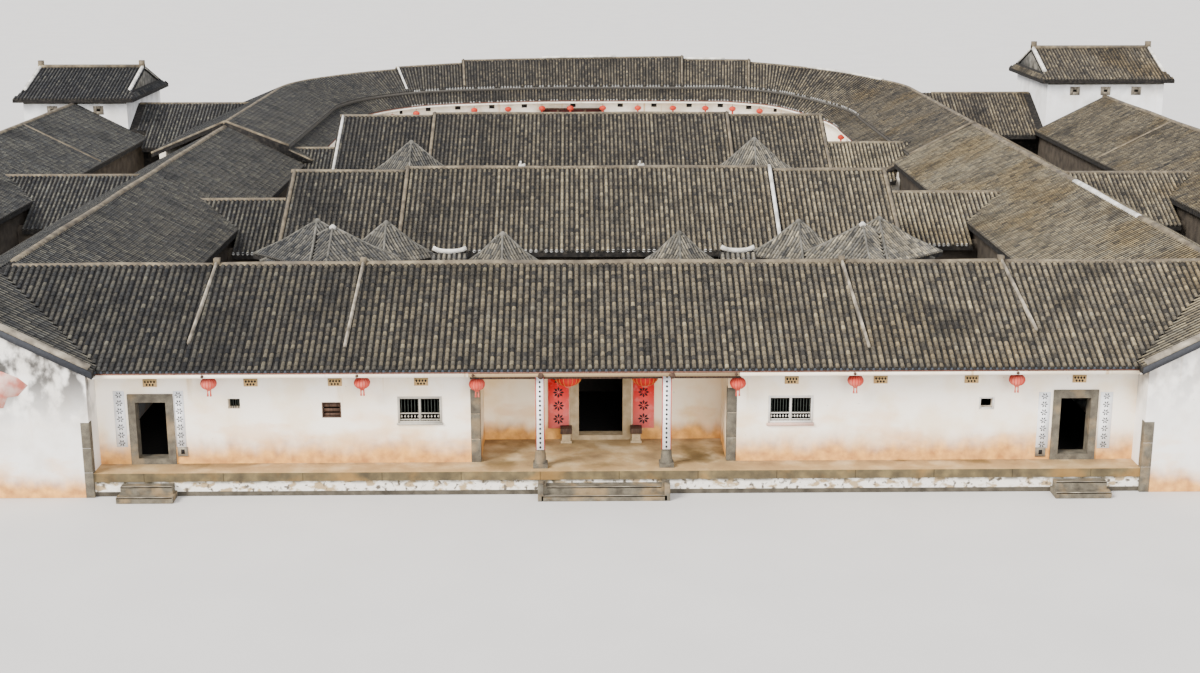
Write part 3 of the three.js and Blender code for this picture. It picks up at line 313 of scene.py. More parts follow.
def plaster_material(name, base, worn, foot=0.0, foot_high=0.0, mould=0.0, mould_from=3.0, streaks=0.3,
                     shaded=None, indoor_shade_from=0.0):
    """Lime plaster: ochre rising from its foot, grey mould near its top, thin streaks from the eave.

    Between the two y of shaded it is dark, the timber and clay of the court sides with painted shade under
    their eaves, but for the walls that face away from the house; behind the y of the indoor shade it is
    painted near-black, as painted shade indoors.
    """
    s = Shader(name, 0.9)
    colour = s.mix(s.noise(0.8, 6, contrast=(0.42, 0.66)), base, worn)
    low = s.fade(s.z, foot + 3.0, foot + 0.6)
    blotches = s.times(s.noise(0.55, 5, (1, 1, 2.2), 7.0, (0.5, 0.68)), low)
    colour = s.stain(colour, "#e9b471", blotches, 0.5)
    rising = s.maths("ADD", s.z, s.maths("MULTIPLY", s.noise(1.3, 5, (1, 1, 0.4), 2.0), -0.9))
    damp = s.fade(rising, foot + foot_high, foot - 0.25)
    colour = s.stain(colour, s.ramp(s.noise(3, 4), DAMP_STOPS), damp, 0.95)
    runs = s.times(s.noise(3.2, 3, (1, 1, 0.06), 4.0, (0.63, 0.74)), s.fade(s.z, foot + 1.2, foot + 3.2))
    colour = s.stain(colour, "#c9a05e", runs, streaks)
    high = s.fade(s.z, mould_from - 1.2, mould_from + 1.2)
    left_more = s.maths("ADD", s.maths("MULTIPLY", s.fade(s.x, 10.0, -15.0), 0.55), 0.45)
    grime = s.times(s.noise(1.9, 9, (1, 1, 0.7), 9.0, (0.4, 0.6)), high, left_more)
    colour = s.stain(colour, "#4d4a46", grime, mould)
    colour = s.stain(colour, "#8a8074", s.noise(7, 6, (1, 1, 1), 5.0, (0.3, 0.22)), 0.35)
    # Painted shade: near-black indoors, behind the given y
    if indoor_shade_from:
        colour = s.mix(s.fade(s.y, indoor_shade_from, indoor_shade_from + 0.04), colour, "#1d1814")
    # Painted shade under the court-side eaves, together with the dark timber and clay there
    if shaded:
        start, end = shaded
        court_shade_and_timber = s.times(s.fade(s.y, start, start + 1.0), s.fade(s.y, end, end - 0.1))
        court_shade_and_timber = s.times(court_shade_and_timber, s.fade(s.maths("ABSOLUTE", s.x), OUTER_FACE, OUTER_FACE - 0.1))
        colour = s.mix(court_shade_and_timber, colour, s.ramp(s.noise(2, 4), SHADED_STOPS))
    s.bump(s.noise(5, 6), 0.02, 0.45)
    return s.colour(colour)


def stone_material(name, light, dark, warm=0.25):
    s = Shader(name, 0.85)
    colour = s.ramp(s.noise(4, 6), [(0.3, dark), (0.7, light)])
    colour = s.mix(s.noise(40, 2, contrast=(0.58, 0.7)), colour, dark)
    colour = s.stain(colour, "#a98a5c", s.noise(1.4, 4, (1, 1, 1), 6.0, (0.5, 0.66)), warm)
    s.bump(s.noise(22, 4), 0.012, 0.6)
    return s.colour(colour)


# Platform: tops of its bottom course and of its whitewashed plinth, length of an edge stone
COURSE_TOP, PLINTH_TOP, EDGE_STONE = 0.16, 0.52, 2.6
PORCH_MIDDLE, PORCH_HALF = -0.49, 4.65


def edge_colour(s):
    """Brown slab edge with rust-coloured stains and joints between its stones."""
    edge = s.ramp(s.noise(2.2, 6), [(0.3, "#473e2e"), (0.55, "#61543b"), (0.75, "#7c6b48")])
    edge = s.stain(edge, "#96703a", s.noise(0.7, 5, (1, 1, 1), 2.0, (0.48, 0.66)), 0.6)
    joints = s.node("ShaderNodeTexBrick")
    for socket, value in (("Scale", 1.0), ("Brick Width", EDGE_STONE), ("Row Height", 8.0),
                          ("Mortar Size", 0.012), ("Color1", (1, 1, 1, 1)), ("Color2", (0.86, 0.86, 0.86, 1)),
                          ("Mortar", (0.2, 0.18, 0.15, 1))):
        joints.inputs[socket].default_value = value
    s.link(s.place, joints.inputs["Vector"])
    return s.mix(0.8, edge, joints.outputs["Color"], "MULTIPLY")


def platform_material():
    """The platform's floor, slab edge, peeling whitewashed plinth and bottom course, by height."""
    s = Shader("platform_stone_and_whitewash", 0.9)
    lime = s.mix(s.noise(2.3, 7, (1, 1, 1.6), 1.0, (0.5, 0.6)), "#e6dfd2", "#a58f6d")
    lime = s.mix(s.noise(6, 6, (1, 1, 1), 8.0, (0.56, 0.66)), lime, "#5f564b")
    # Painted shade: the plinth's top darkened in patches just under the slab edge
    under = s.times(s.fade(s.z, 0.36, 0.5), s.noise(2.5, 5, (1, 1, 1), 3.0, (0.35, 0.6)))
    lime = s.stain(lime, "#4a4330", under, 0.8)
    course = s.ramp(s.noise(3, 5), [(0.3, "#38332b"), (0.7, "#5a5347")])
    floor = s.ramp(s.noise(1.1, 6), [(0.3, "#7d6647"), (0.5, "#9c8158"), (0.72, "#c2ab84")])
    floor = s.mix(s.noise(0.5, 5, (1, 1, 1), 4.0, (0.55, 0.7)), floor, "#64502f")
    floor = s.stain(floor, "#b8925e", s.fade(s.y, 0.2, -0.9), 0.35)
    colour = s.mix(s.fade(s.z, COURSE_TOP - 0.01, COURSE_TOP + 0.01), course, lime)
    colour = s.mix(s.fade(s.z, PLINTH_TOP - 0.005, PLINTH_TOP + 0.005), colour, edge_colour(s))
    colour = s.mix(s.fade(s.z, FLOOR - 0.012, FLOOR - 0.004), colour, floor)
    # Painted shade: the floor indoors beside the porch, and behind the porch, is near-black
    off_middle = s.maths("ABSOLUTE", s.maths("SUBTRACT", s.x, PORCH_MIDDLE))
    beside = s.fade(off_middle, PORCH_HALF - 0.05, PORCH_HALF + 0.05)
    room_floor_shade = s.times(s.fade(s.y, 0.45, 0.55), beside)
    colour = s.mix(s.maths("MAXIMUM", room_floor_shade, s.fade(s.y, 2.85, 3.0)), colour, "#15110e")
    s.bump(s.noise(6, 6), 0.03, 0.7)
    return s.colour(colour)


def wood_material(name, light, dark):
    s = Shader(name, 0.75)
    grain = s.noise(5, 6, (6, 6, 0.7))
    s.bump(grain, 0.006, 0.5)
    return s.colour(s.ramp(grain, [(0.3, dark), (0.7, light)]))


def paper_material(name, base, faded, roughness=0.7):
    s = Shader(name, roughness)
    colour = s.mix(s.noise(2.5, 4, contrast=(0.35, 0.7)), base, faded)
    s.bump(s.noise(8, 3, (1, 1, 0.5)), 0.008, 0.35)
    return s.colour(colour)


def banner_material():
    """Red paper that has faded to pink towards its foot."""
    s = Shader("faded_red_paper", 0.7)
    colour = s.mix(s.fade(s.z, 1.3, 3.0), "#f2726b", "#e00d0a")
    colour = s.stain(colour, "#f3a39c", s.noise(4, 5, contrast=(0.5, 0.7)), 0.3)
    s.bump(s.noise(8, 3, (1, 1, 0.5)), 0.008, 0.35)
    return s.colour(colour)


def plain_material(name, light, dark, roughness=0.8, metal=0.0):
    s = Shader(name, roughness)
    s.surface.inputs["Metallic"].default_value = metal
    s.bump(s.noise(30, 3), 0.003, 0.4)
    return s.colour(s.mix(s.noise(12, 4), light, dark))


TILES = tile_material("barrel_tiles", TILE_STOPS)
PALE_TILES = tile_material("pavilion_tiles", PALE_STOPS)
PANS_DIRT_AND_SHADE = pan_dirt_and_shade_material()
TILE_ENDS = plain_material("dark_tile_ends", "#34322f", "#191817")
GREY_ENDS = plain_material("grey_tile_ends", "#524e47", "#2f2c28")
DRIPS = plain_material("blue_grey_drip_tiles", "#44484e", "#23262a")
PALE_DOTS = plain_material("whitewashed_tile_ends", "#e4e2dc", "#a7a49c")
RIDGE = mortar_material("ridge_mortar", [(0.3, "#4a4237"), (0.5, "#675c4b"), (0.7, "#82765f")])
VERGE = mortar_material("verge_mortar", [(0.3, "#5d554a"), (0.5, "#857b6b"), (0.7, "#aea38f")], 0.5)
LIME = mortar_material("white_mortar", [(0.3, "#a7a297"), (0.5, "#d0cbc0"), (0.7, "#ebe7dd")], 0.3)
HIP = mortar_material("hip_mortar", [(0.3, "#3c3a35"), (0.5, "#5b5850"), (0.7, "#7b766c")], 0.4)
FRONT_PLASTER = plaster_material("front_plaster", "#fcf1df", "#f5e2c4", FLOOR, 0.8, 0.0, 9.0, 0.7,
                                 indoor_shade_from=0.3)
PORCH_PLASTER = plaster_material("porch_plaster", "#fbe9c9", "#f0d4a2", FLOOR, 0.35, 0.05, 4.0, 0.4,
                                 indoor_shade_from=2.7)
GABLE_PLASTER = plaster_material("gable_plaster", "#f1ece4", "#e2dbd0", 0.0, 0.6, 1.0, 3.2, 0.15, (8.0, 90.0))
COURT_PLASTER = plaster_material("court_plaster", "#f5eddd", "#e8dbc3", 0.0, 0.3, 0.15, 3.6, 0.7)
HALL_WALLS = plaster_material("hall_plaster", "#f0e8d8", "#dccfb8", 0.0, 0.5, 0.6, 4.2, 0.4, (0.0, 39.4))
# Near-black wall inside the front range: painted shade indoors
INDOOR_SHADE_WALL = plain_material("inner_wall_painted_shade", "#332c25", "#1f1a16")
TOWER_PLASTER = plaster_material("tower_plaster", "#f0eeea", "#dedad3", 0.0, 0.5, 0.35, 6.4, 0.1)
STONE = stone_material("dressed_stone", "#6b6455", "#484239")
PORCH_STONE = stone_material("warm_porch_stone", "#b9a381", "#94805f", 0.35)
STEP_STONE = stone_material("worn_step_stone", "#706858", "#443e34", 0.4)
PLATFORM = platform_material()
TIMBER = wood_material("dark_timber", "#5a4334", "#2a1d16")
RED_WOOD = wood_material("dark_red_timber", "#4c1a17", "#2a0f0d")
EAVE_WOOD = wood_material("reddish_eave_boards", "#7d5546", "#4e3329")
# Dark boards under the verges: a painted frieze, and painted shade under the overhang
VERGE_BOARD_AND_SHADE = plain_material("dark_verge_boards_and_shade", "#3d3e42", "#27282b")
SILL = plain_material("pinkish_sill", "#d9b7a6", "#c49c88")
BEIGE_FRAME = plain_material("grey_beige_window_frame", "#bdb6a8", "#9c9588")
FADED_WASH = paper_material("faded_red_wash", "#cb7462", "#dcb9aa", 0.9)
RED_PAPER = banner_material()
WHITE_PAPER = paper_material("white_paper", "#f3f2f0", "#e2e0dc")
PINK_LANTERN = paper_material("faded_lantern_cloth", "#bf4533", "#cd6f5e")
REAR_LANTERN = paper_material("rear_lantern_cloth", "#a92c1a", "#b8402b")
RED_LANTERN = paper_material("red_lantern_cloth", "#a80d07", "#bd1a10", 0.6)
GOLD = plain_material("gold_trim", "#e0a648", "#b97f2c", 0.5, 0.3)
INK = plain_material("black_ink", "#1b1a1a", "#2e2c2b", 0.8)
IRON = plain_material("painted_iron_bars", "#3d423d", "#23261f", 0.6, 0.4)
WHITE_FRAME = plain_material("white_window_frame", "#e3ded5", "#c3bcb0")
# Near-black plates in the vent holes and niches: painted shade inside the hollows
HOLLOW_SHADE = plain_material("painted_shade_in_hollows", "#12100f", "#1d1a17")
# Duller soffit edge over the porch: painted shade under the porch roof
PORCH_SOFFIT_SHADE = plain_material("shaded_soffit", "#a98f6b", "#8d7555")
TERRACOTTA = plain_material("ochre_vent_bricks", "#d2b27f", "#a98653")


BOX_FACES = [(0, 1, 3, 2), (4, 6, 7, 5), (0, 4, 5, 1), (2, 3, 7, 6), (0, 2, 6, 4), (1, 5, 7, 3)]
BAND_SHAPE = [(-0.5, 0.0), (-0.46, 0.72), (-0.2, 1.0), (0.2, 1.0), (0.46, 0.72), (0.5, 0.0)]


def between(start, end, shares=(0, 1), count=8):
    """Points on the straight line from start to end, from one share of its length to another."""
    start, end = np.asarray(start, float), np.asarray(end, float)
    return [start + (end - start) * t for t in np.linspace(*shares, count)]


def several(count):
    return [Piece() for _ in range(count)]


class Piece:
    """Faces gathered in real metres, each with a tone from 0 to 1."""

    def __init__(self):
        self.points, self.faces, self.tones, self.count = [], [], [], 0

    def add(self, points, faces, tones=0.5):
        points = np.asarray(points, float).reshape(-1, 3)
        faces = np.asarray(faces, int)
        self.points.append(points)
        self.faces.append(faces + self.count)
        self.tones.append(np.broadcast_to(np.asarray(tones, float), len(faces)))
        self.count += len(points)

    def box(self, x0, x1, y0, y1, z0, z1):
        self.add([(x, y, z) for x in (x0, x1) for y in (y0, y1) for z in (z0, z1)], BOX_FACES)

    def slab(self, points, shift):
        """A flat polygon given a thickness; its points run anticlockwise seen from its open side."""
        front = np.asarray(points, float)[::-1]
        self.prism(front, front + shift)

    def prism(self, front, back):
        """A solid between two like polygons that run clockwise seen from the front."""
        n = len(front)
        sides = [(i, (i + 1) % n, n + (i + 1) % n, n + i) for i in range(n)]
        self.add(np.concatenate([front, back]), sides)
        self.close(np.arange(n - 1, -1, -1), np.arange(n, 2 * n), 2 * n)

    def close(self, first, last, used):
        """Two end polygons over the points that were added last."""
        self.faces.append(np.array([first, last]) + self.count - used)
        self.tones.append(np.full(2, 0.5))

    def plate(self, outline, y0, y1):
        """A flat plate of an [x, z] outline, facing the front."""
        self.slab([(x, y0, z) for x, z in outline], (0, y1 - y0, 0))

    def tube(self, rings):
        """A closed bar through rings of as many points each."""
        rings = np.asarray(rings, float)
        count, n = rings.shape[:2]
        faces = [(i * n + j, i * n + (j + 1) % n, (i + 1) * n + (j + 1) % n, (i + 1) * n + j)
                 for i in range(count - 1) for j in range(n)]
        self.add(rings, faces)
        self.close(np.arange(n - 1, -1, -1), np.arange(n) + (count - 1) * n, count * n)

    def band(self, path, width, height, sink=0.03):
        """A ridge or verge: a rounded bar along a path of points, from sink below it to height above."""
        path = np.asarray(path, float)
        rings = []
        for i, point in enumerate(path):
            along = path[min(i + 1, len(path) - 1)] - path[max(i - 1, 0)]
            along /= np.linalg.norm(along)
            across = np.array([along[1], -along[0], 0.0])
            across /= np.linalg.norm(across)
            up = np.cross(across, along)
            up = up if up[2] > 0 else -up
            rings.append([point + across * a * width + up * (b * (height + sink) - sink)
                          for a, b in BAND_SHAPE])
        self.tube(rings)

    def turned(self, x, y, profile, sides=20):
        """A surface of revolution about an upright line, from a profile of [radius, z], lowest first."""
        turns = [2 * math.pi * j / sides for j in range(sides)]
        self.tube([[(x + r * math.cos(a), y + r * math.sin(a), z) for a in turns] for r, z in profile])

    def log(self, x, z, y0, y1, radius, sides=12):
        """A round bar that points to the front."""
        turns = [2 * math.pi * j / sides for j in range(sides)]
        self.tube([[(x + radius * math.cos(a), y, z + radius * math.sin(a)) for a in turns]
                   for y in (y1, y0)])

    def make(self, name, material, slot, replaces=(), bevel=0.0, smooth=False):
        points = (np.concatenate(self.points) - [0, MIDDLE, 0]) * SCALE
        sizes = np.concatenate([np.full(len(f), f.shape[1]) for f in self.faces])
        corners = np.concatenate([f.ravel() for f in self.faces])
        mesh = bpy.data.meshes.new(name)
        mesh.vertices.add(len(points))
        mesh.vertices.foreach_set("co", points.ravel())
        mesh.loops.add(len(corners))
        mesh.loops.foreach_set("vertex_index", corners)
        mesh.polygons.add(len(sizes))
        mesh.polygons.foreach_set("loop_start", np.concatenate([[0], np.cumsum(sizes)[:-1]]))
        mesh.update(calc_edges=True)
        tone = mesh.attributes.new("tone", "FLOAT", "FACE")
        tone.data.foreach_set("value", np.concatenate(self.tones))
        mesh.validate()
        mesh.materials.append(material)
        made = bpy.data.objects.new(name, mesh)
        bpy.context.scene.collection.objects.link(made)
        if bevel:
            edges = made.modifiers.new("worn edges", "BEVEL")
            edges.width = bevel * SCALE
            edges.segments = 2
            edges.limit_method = "ANGLE"
        if smooth:
            mesh.shade_smooth()
        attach(made, "root")
        if replaces:
            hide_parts(*replaces)


# Roof surfaces: where each one lies in plan, how high it is, and the lines its tile rows follow

class Surface:
    def __init__(self, group, inside, height, lines, covered=True, barrel=BARREL):
        self.group, self.inside, self.height = group, inside, height
        self.lines, self.covered, self.barrel = lines, covered, barrel

    def top(self, x, y):
        return np.where(self.inside(x, y), self.height(x, y), -9.0)


def spread(start, end, pitch=PITCH):
    count = max(1, int(round((end - start) / pitch)))
    step = (end - start) / count
    return start + step * (np.arange(count) + 0.5)


def within(value, low, high, slack=1e-6):
    return (value >= low - slack) & (value <= high + slack)


def slope(group, axis, start, end, ridge, eave, ridge_z, eave_z, keep=None, covered=True):
    """A slope whose tile rows run down along an axis, "x" or "y", between two places on the other one."""
    fall = (ridge_z - eave_z) / abs(eave - ridge)
    low, high = min(ridge, eave), max(ridge, eave)
    sideways = axis == "x"

    def inside(x, y):
        down, across = (x, y) if sideways else (y, x)
        here = within(across, start, end) & within(down, low, high)
        return here & keep(x, y) if keep else here

    def height(x, y):
        return ridge_z - fall * np.abs((x if sideways else y) - ridge)

    top = ridge + math.copysign(RIDGE_GAP, eave - ridge)
    foot = math.copysign(min(abs(eave), HIDDEN_X), eave) if sideways else eave
    lines = [((row, top), (row, foot)) for row in spread(start, end)]
    if sideways:
        lines = [(upper[::-1], lower[::-1]) for upper, lower in lines]
    return Surface(group, inside, height, lines, covered)


def gable_y(group, spec, x0, x1, drop=0.0, keep=None):
    """Both slopes of a roof whose ridge runs along x."""
    return [slope(group, "y", x0, x1, spec["y"], spec["y"] + side * spec["half"], spec["ridge_z"] - drop,
                  spec["eave_z"] - drop, keep) for side in (-1, 1)]


def marked(marks, run):
    return np.interp(run, [m[0] for m in marks], [m[1] for m in marks])


def ring_eave(run):
    return float(marked(RING_EAVE, run))


def ring_point(run, offset):
    """The plan point of the horseshoe at a run along its ridge and an offset from it."""
    if run > RING_RUN / 2:
        x, y = ring_point(RING_RUN - run, offset)
        return -x, y
    if run < 0:
        return RING_RIDGE + offset, TAIL_END + run
    if run < CORNER_RUN:
        turn, r = run / RING_CORNER, RING_CORNER + offset
        return CORNER_X + r * math.cos(turn), TAIL_END + r * math.sin(turn)
    turn, r = math.pi / 2 - RING_FLAT + (run - CORNER_RUN) / FLAT_RADIUS, FLAT_RADIUS + offset
    return r * math.cos(turn), FLAT_Y + r * math.sin(turn)


def ring_place(x, y):
    """The offset from the horseshoe's ridge and the run along it, for plan points."""
    x, y = np.asarray(x, float), np.asarray(y, float)
    turn = np.arctan2(y - FLAT_Y, np.abs(x))
    flat = turn >= math.pi / 2 - RING_FLAT
    out, on = np.abs(x) - CORNER_X, y - TAIL_END
    tail = on < 0
    offset = np.where(flat, np.hypot(x, y - FLAT_Y) - FLAT_RADIUS, np.hypot(out, on) - RING_CORNER)
    run_on_flat = CORNER_RUN + (turn - math.pi / 2 + RING_FLAT) * FLAT_RADIUS
    run = np.where(flat, run_on_flat, np.arctan2(on, out) * RING_CORNER)
    offset, run = np.where(tail, out - RING_CORNER, offset), np.where(tail, on, run)
    return offset, np.where(x < 0, RING_RUN - run, run)


def ring_surface(offset0, fall0, offset1, fall1, ridges, group, covered=True):
    """A slope of the horseshoe under one stepped length of its ridge; falls are below the upper eave."""
    start, end = ridges[0][0], ridges[-1][0]
    low, high = sorted((offset0, offset1))

    def inside(x, y):
        offset, run = ring_place(x, y)
        return within(offset, low, high) & within(run, start, end, 0.01)

    def height(x, y):
        offset, run = ring_place(x, y)
        eave = marked(RING_EAVE, run)
        top = marked(ridges, run) if fall0 is None else eave - fall0
        return top + (eave - fall1 - top) * (offset - offset0) / (offset1 - offset0)

    runs = np.linspace(start, end, 400)
    middle = np.array([ring_point(run, (offset0 + offset1) / 2) for run in runs])
    travel = np.concatenate([[0], np.cumsum(np.linalg.norm(np.diff(middle, axis=0), axis=1))])
    ends = offset1 - 0.08 if offset1 > 0 else offset1
    rows = np.interp(spread(0, travel[-1]), travel, runs)
    first = offset0 + math.copysign(RIDGE_GAP, offset1)
    lines = [(ring_point(run, first), ring_point(run, ends)) for run in rows]
    return Surface(group, inside, height, lines, covered)


def pyramid_fall(top, reach, eave, distance):
    """Height of a pavilion's roof, by the distance along its corner line: it curves up to the peak."""
    marks = [0, 0.17, reach / 2, reach]
    return np.interp(distance, marks, [top, top - 0.05, eave + (top - eave) * 0.45, eave])


def pyramid(group, x0, y0, top, reach, eave):
    """The four slopes of a pavilion roof that stands cornerwise."""
    root = math.sqrt(0.5)
    half = reach * root
    made = []
    for out_x, out_y in ((root, root), (-root, root), (-root, -root), (root, -root)):
        across_x, across_y = -out_y, out_x

        def inside(x, y, ox=out_x, oy=out_y, ax=across_x, ay=across_y):
            out = (x - x0) * ox + (y - y0) * oy
            across = (x - x0) * ax + (y - y0) * ay
            return (out >= np.abs(across) - 1e-6) & (out <= half + 1e-6)

        def height(x, y, ox=out_x, oy=out_y):
            out = (x - x0) * ox + (y - y0) * oy
            return pyramid_fall(top, reach, eave, out / root)

        lines = []
        for a in spread(-half, half, SMALL_PITCH):
            start = abs(a)
            lines.append(((x0 + out_x * start + across_x * a, y0 + out_y * start + across_y * a),
                          (x0 + out_x * half + across_x * a, y0 + out_y * half + across_y * a)))
        made.append(Surface(group, inside, height, lines, True, SMALL_BARREL))
    return made


def tower_surfaces(group, side, t):
    """The slopes of a tower's roof: two main ones, and a low skirt across each gable."""
    middle = (t["y0"] + t["y1"]) / 2
    fall = (t["ridge_z"] - t["eave_z"]) / (middle - t["y0"])

    def main(y):
        return t["ridge_z"] - fall * np.abs(y - middle)

    def from_end(x):
        return np.minimum(np.abs(x) - t["x0"], t["x1"] - np.abs(x))

    def skirt(x):
        return t["eave_z"] + SKIRT_RISE / SKIRT * from_end(x)

    def on_main(x, y):
        return (from_end(x) >= SKIRT) | (main(y) <= skirt(x) + 1e-6)

    made = []
    x0, x1 = sorted((side * t["x0"], side * t["x1"]))
    for eave in (t["y0"], t["y1"]):
        made.append(slope(group, "y", x0, x1, middle, eave, t["ridge_z"], t["eave_z"], on_main))
    for x_eave, x_top in ((t["x0"], t["x0"] + SKIRT), (t["x1"], t["x1"] - SKIRT)):
        made.append(slope(group, "x", t["y0"], t["y1"], side * x_top, side * x_eave,
                          t["eave_z"] + SKIRT_RISE, t["eave_z"], lambda x, y: main(y) >= skirt(x) - 1e-6))
    return made


def roof_surfaces():
    made = []
    for eave, group in ((-1, "front_roof"), (1, "front_roof_rear")):
        made.append(slope(group, "y", -FRONT["reach"], FRONT["reach"], FRONT["ridge_y"],
                          FRONT["ridge_y"] + eave * FRONT["half"], FRONT["ridge_z"], FRONT["eave_z"]))
    for side, name in SIDES:
        wing, outer = name + "_wing", name + "_outer_wing"
        outer_end = TOWERS[name]["wall"]
        for eave in ("inner", "outer"):
            for group, spec, end in ((wing, WING, WING_END), (outer, OUTER, outer_end)):
                made.append(slope(group, "x", WING_FRONT, end, side * spec["ridge"], side * spec[eave],
                                  spec["ridge_z"], spec["eave_z"]))
        for hall, link in ((MIDDLE_HALL, FRONT_LINK[name]), (REAR_HALL, REAR_LINK[name])):
            behind = hall["y"] + hall["half"]
            end = abs(hall[name])
            x0, x1 = sorted((side * (end - 0.72), side * 20.4))
            made += gable_y(wing, link, x0, x1,
                            keep=lambda x, y, e=end, b=behind: (np.abs(x) > e + 0.02) | (y > b + 0.02))
        x0, x1 = sorted((side * 21.6, side * 32.5))
        made += gable_y(outer, OUTER_FRONT_LINK, x0, x1)
        tower = TOWERS[name]
        x0, x1 = sorted((side * 21.9, side * (tower["x0"] + 0.45)))
        made += gable_y(name + "_tower_link", OUTER_REAR_LINK[name], x0, x1,
                        keep=lambda x, y, e=outer_end: (np.abs(x) < 28.6) | (y > e))
        made += tower_surfaces(name + "_tower", side, tower)
    for i, ridges in enumerate(RING_STEPS):
        group = "right_curved_roof" if i < 2 else "centre_curved_roof" if i == 2 else "left_curved_roof"
        made.append(ring_surface(0, None, RING_INNER, 0, ridges, group))
        made.append(ring_surface(0, None, RING_OUTER, RING_OUTER_FALL, ridges, group + "_rear"))
        made.append(ring_surface(PENT_TOP, PENT_TOP_FALL, PENT_EAVE, PENT_EAVE_FALL, ridges, group,
                                 covered=False))
    for name, hall in (("middle_hall", MIDDLE_HALL), ("rear_hall", REAR_HALL)):
        made += gable_y(name, hall, hall["low_left"], hall["low_right"])
        made += gable_y(name, hall, hall["left"], hall["low_left"] - 0.02, hall["drop"])
        made += gable_y(name, hall, hall["low_right"] + 0.02, hall["right"], hall["drop"])
    for spec in COURT_PAVILIONS:
        made += pyramid("court_pavilion", *spec)
    for spec in REAR_PAVILIONS:
        made += pyramid("rear_pavilion", *spec)
    for x, y, top in GATES:
        gate = {"y": y, "half": 0.6, "ridge_z": top, "eave_z": top - 0.32}
        made += gable_y("court_pavilion", gate, x - 0.7, x + 0.7)
    return made


def row_runs(surface, others):
    """The parts of a surface's tile rows that no other roof covers, each with whether it meets an eave."""
    runs = []
    for (x0, y0), (x1, y1) in surface.lines:
        length = math.hypot(x1 - x0, y1 - y0)
        count = max(3, int(length / 0.05))
        share = np.linspace(0, 1, count)
        x, y = x0 + (x1 - x0) * share, y0 + (y1 - y0) * share
        own = surface.height(x, y)
        keep = surface.inside(x, y)
        if surface.covered:
            for other in others:
                keep &= own >= other.top(x, y) - 0.004
        edges = np.flatnonzero(np.diff(np.concatenate([[0], keep.astype(int), [0]])))
        for start, end in zip(edges[::2], edges[1::2]):
            if end - start < 4:
                continue
            points = np.stack([x[start:end], y[start:end], own[start:end]], 1)
            runs.append((points, end == count))
    return runs


def lay_tiles(piece, points, tile, shade, barrel, near, scatter):
    """Lays overlapping barrel tiles along one row, from its foot up; each flank is painted darker, as painted
    shade between the rows.
    """
    steps = np.linalg.norm(np.diff(points, axis=0), axis=1)
    travel = np.concatenate([[0], np.cumsum(steps)])
    total = travel[-1]
    low = total - np.arange(0, total, tile)
    high = np.maximum(low - tile * 1.05, 0)
    lower, upper = (np.stack([np.interp(s, travel, points[:, k]) for k in range(3)], 1) for s in (low, high))
    along = lower - upper
    along /= np.linalg.norm(along, axis=1)[:, None]
    side = np.array([points[-1][1] - points[0][1], points[0][0] - points[-1][0], 0.0])
    side /= np.linalg.norm(side)
    side = np.broadcast_to(side, along.shape)
    up = np.cross(along, side)
    up *= np.sign(up[:, 2:3])
    angles, flank_shade = (NEAR_ANGLES, NEAR_FLANK_SHADE) if near else (FAR_ANGLES, FAR_FLANK_SHADE)
    if abs(along[0][0]) > 0.7:
        flank_shade = SIDEWAYS_FLANK_SHADE
    n, sides = len(low), len(angles) - 1
    radius = barrel * random.uniform(0.96, 1.04, n)[:, None, None]
    across, rise = np.cos(angles)[None, :, None], np.sin(angles)[None, :, None]
    shape = across * side[:, None, :] + rise * up[:, None, :]
    narrow, wide = upper[:, None, :] + shape * radius * 0.88, lower[:, None, :] + shape * radius
    rings = np.concatenate([narrow, wide], axis=1)
    width = sides + 1
    base = (np.arange(n) * 2 * width)[:, None]
    j = np.arange(sides)[None, :]
    quads = np.stack([base + j, base + j + 1, base + width + j + 1, base + width + j], -1).reshape(-1, 4)
    caps = base + width + np.arange(width)[None, :]
    if np.dot(np.cross(side[0], up[0]), along[0]) > 0:
        quads = quads[:, ::-1]
    else:
        caps = caps[:, ::-1]
    tones = np.clip(random.normal(shade, scatter, n), 0.02, 1)
    tones[random.random(n) < 0.05] *= 0.62
    start = piece.count
    piece.add(rings.reshape(-1, 3), quads, np.repeat(tones, sides) * np.tile(flank_shade, n))
    piece.faces.append(caps + start)
    piece.tones.append(tones * 0.5)


def level(along):
    """A direction turned level."""
    forward = np.array([along[0], along[1], 0.0])
    return forward / np.linalg.norm(forward)


def drip(piece, foot, along, side, width):
    """A drip tile: a small pointed plate that hangs between two barrel ends."""
    centre = foot + side * PITCH / 2
    forward = level(along)
    outline = [(-width, 0.03), (width, 0.03), (width, -0.02), (0.0, -0.1), (-width, -0.02)]
    front = [centre + side * a + UP * b + forward * 0.012 for a, b in outline]
    piece.prism(front, [p - forward * 0.03 for p in front])


SHADES = {"front_roof": 0.57, "front_roof_rear": 0.5, "court_pavilion": 0.6, "rear_pavilion": 0.58,
          "right_wing": 0.8, "left_outer_wing": 0.66, "right_outer_wing": 0.66,
          "middle_hall": 0.65, "rear_hall": 0.53, "left_curved_roof": 0.62,
          "centre_curved_roof": 0.48, "right_curved_roof": 0.55, "left_wing": 0.66, "left_tower": 0.42}


def eave_kind(group, foot, along):
    """Which round ends close the rows at an eave: dark, mid grey or whitewashed."""
    if group == "front_roof":
        return "dark"
    if "curved" in group:
        return "white" if foot[1] > 60 and foot[0] > -13 and random.random() < 0.7 else "grey"
    if group in ("middle_hall", "left_wing", "right_wing") and along[1] < -0.5:
        return "white" if random.random() < 0.75 else "grey"
    return "grey"


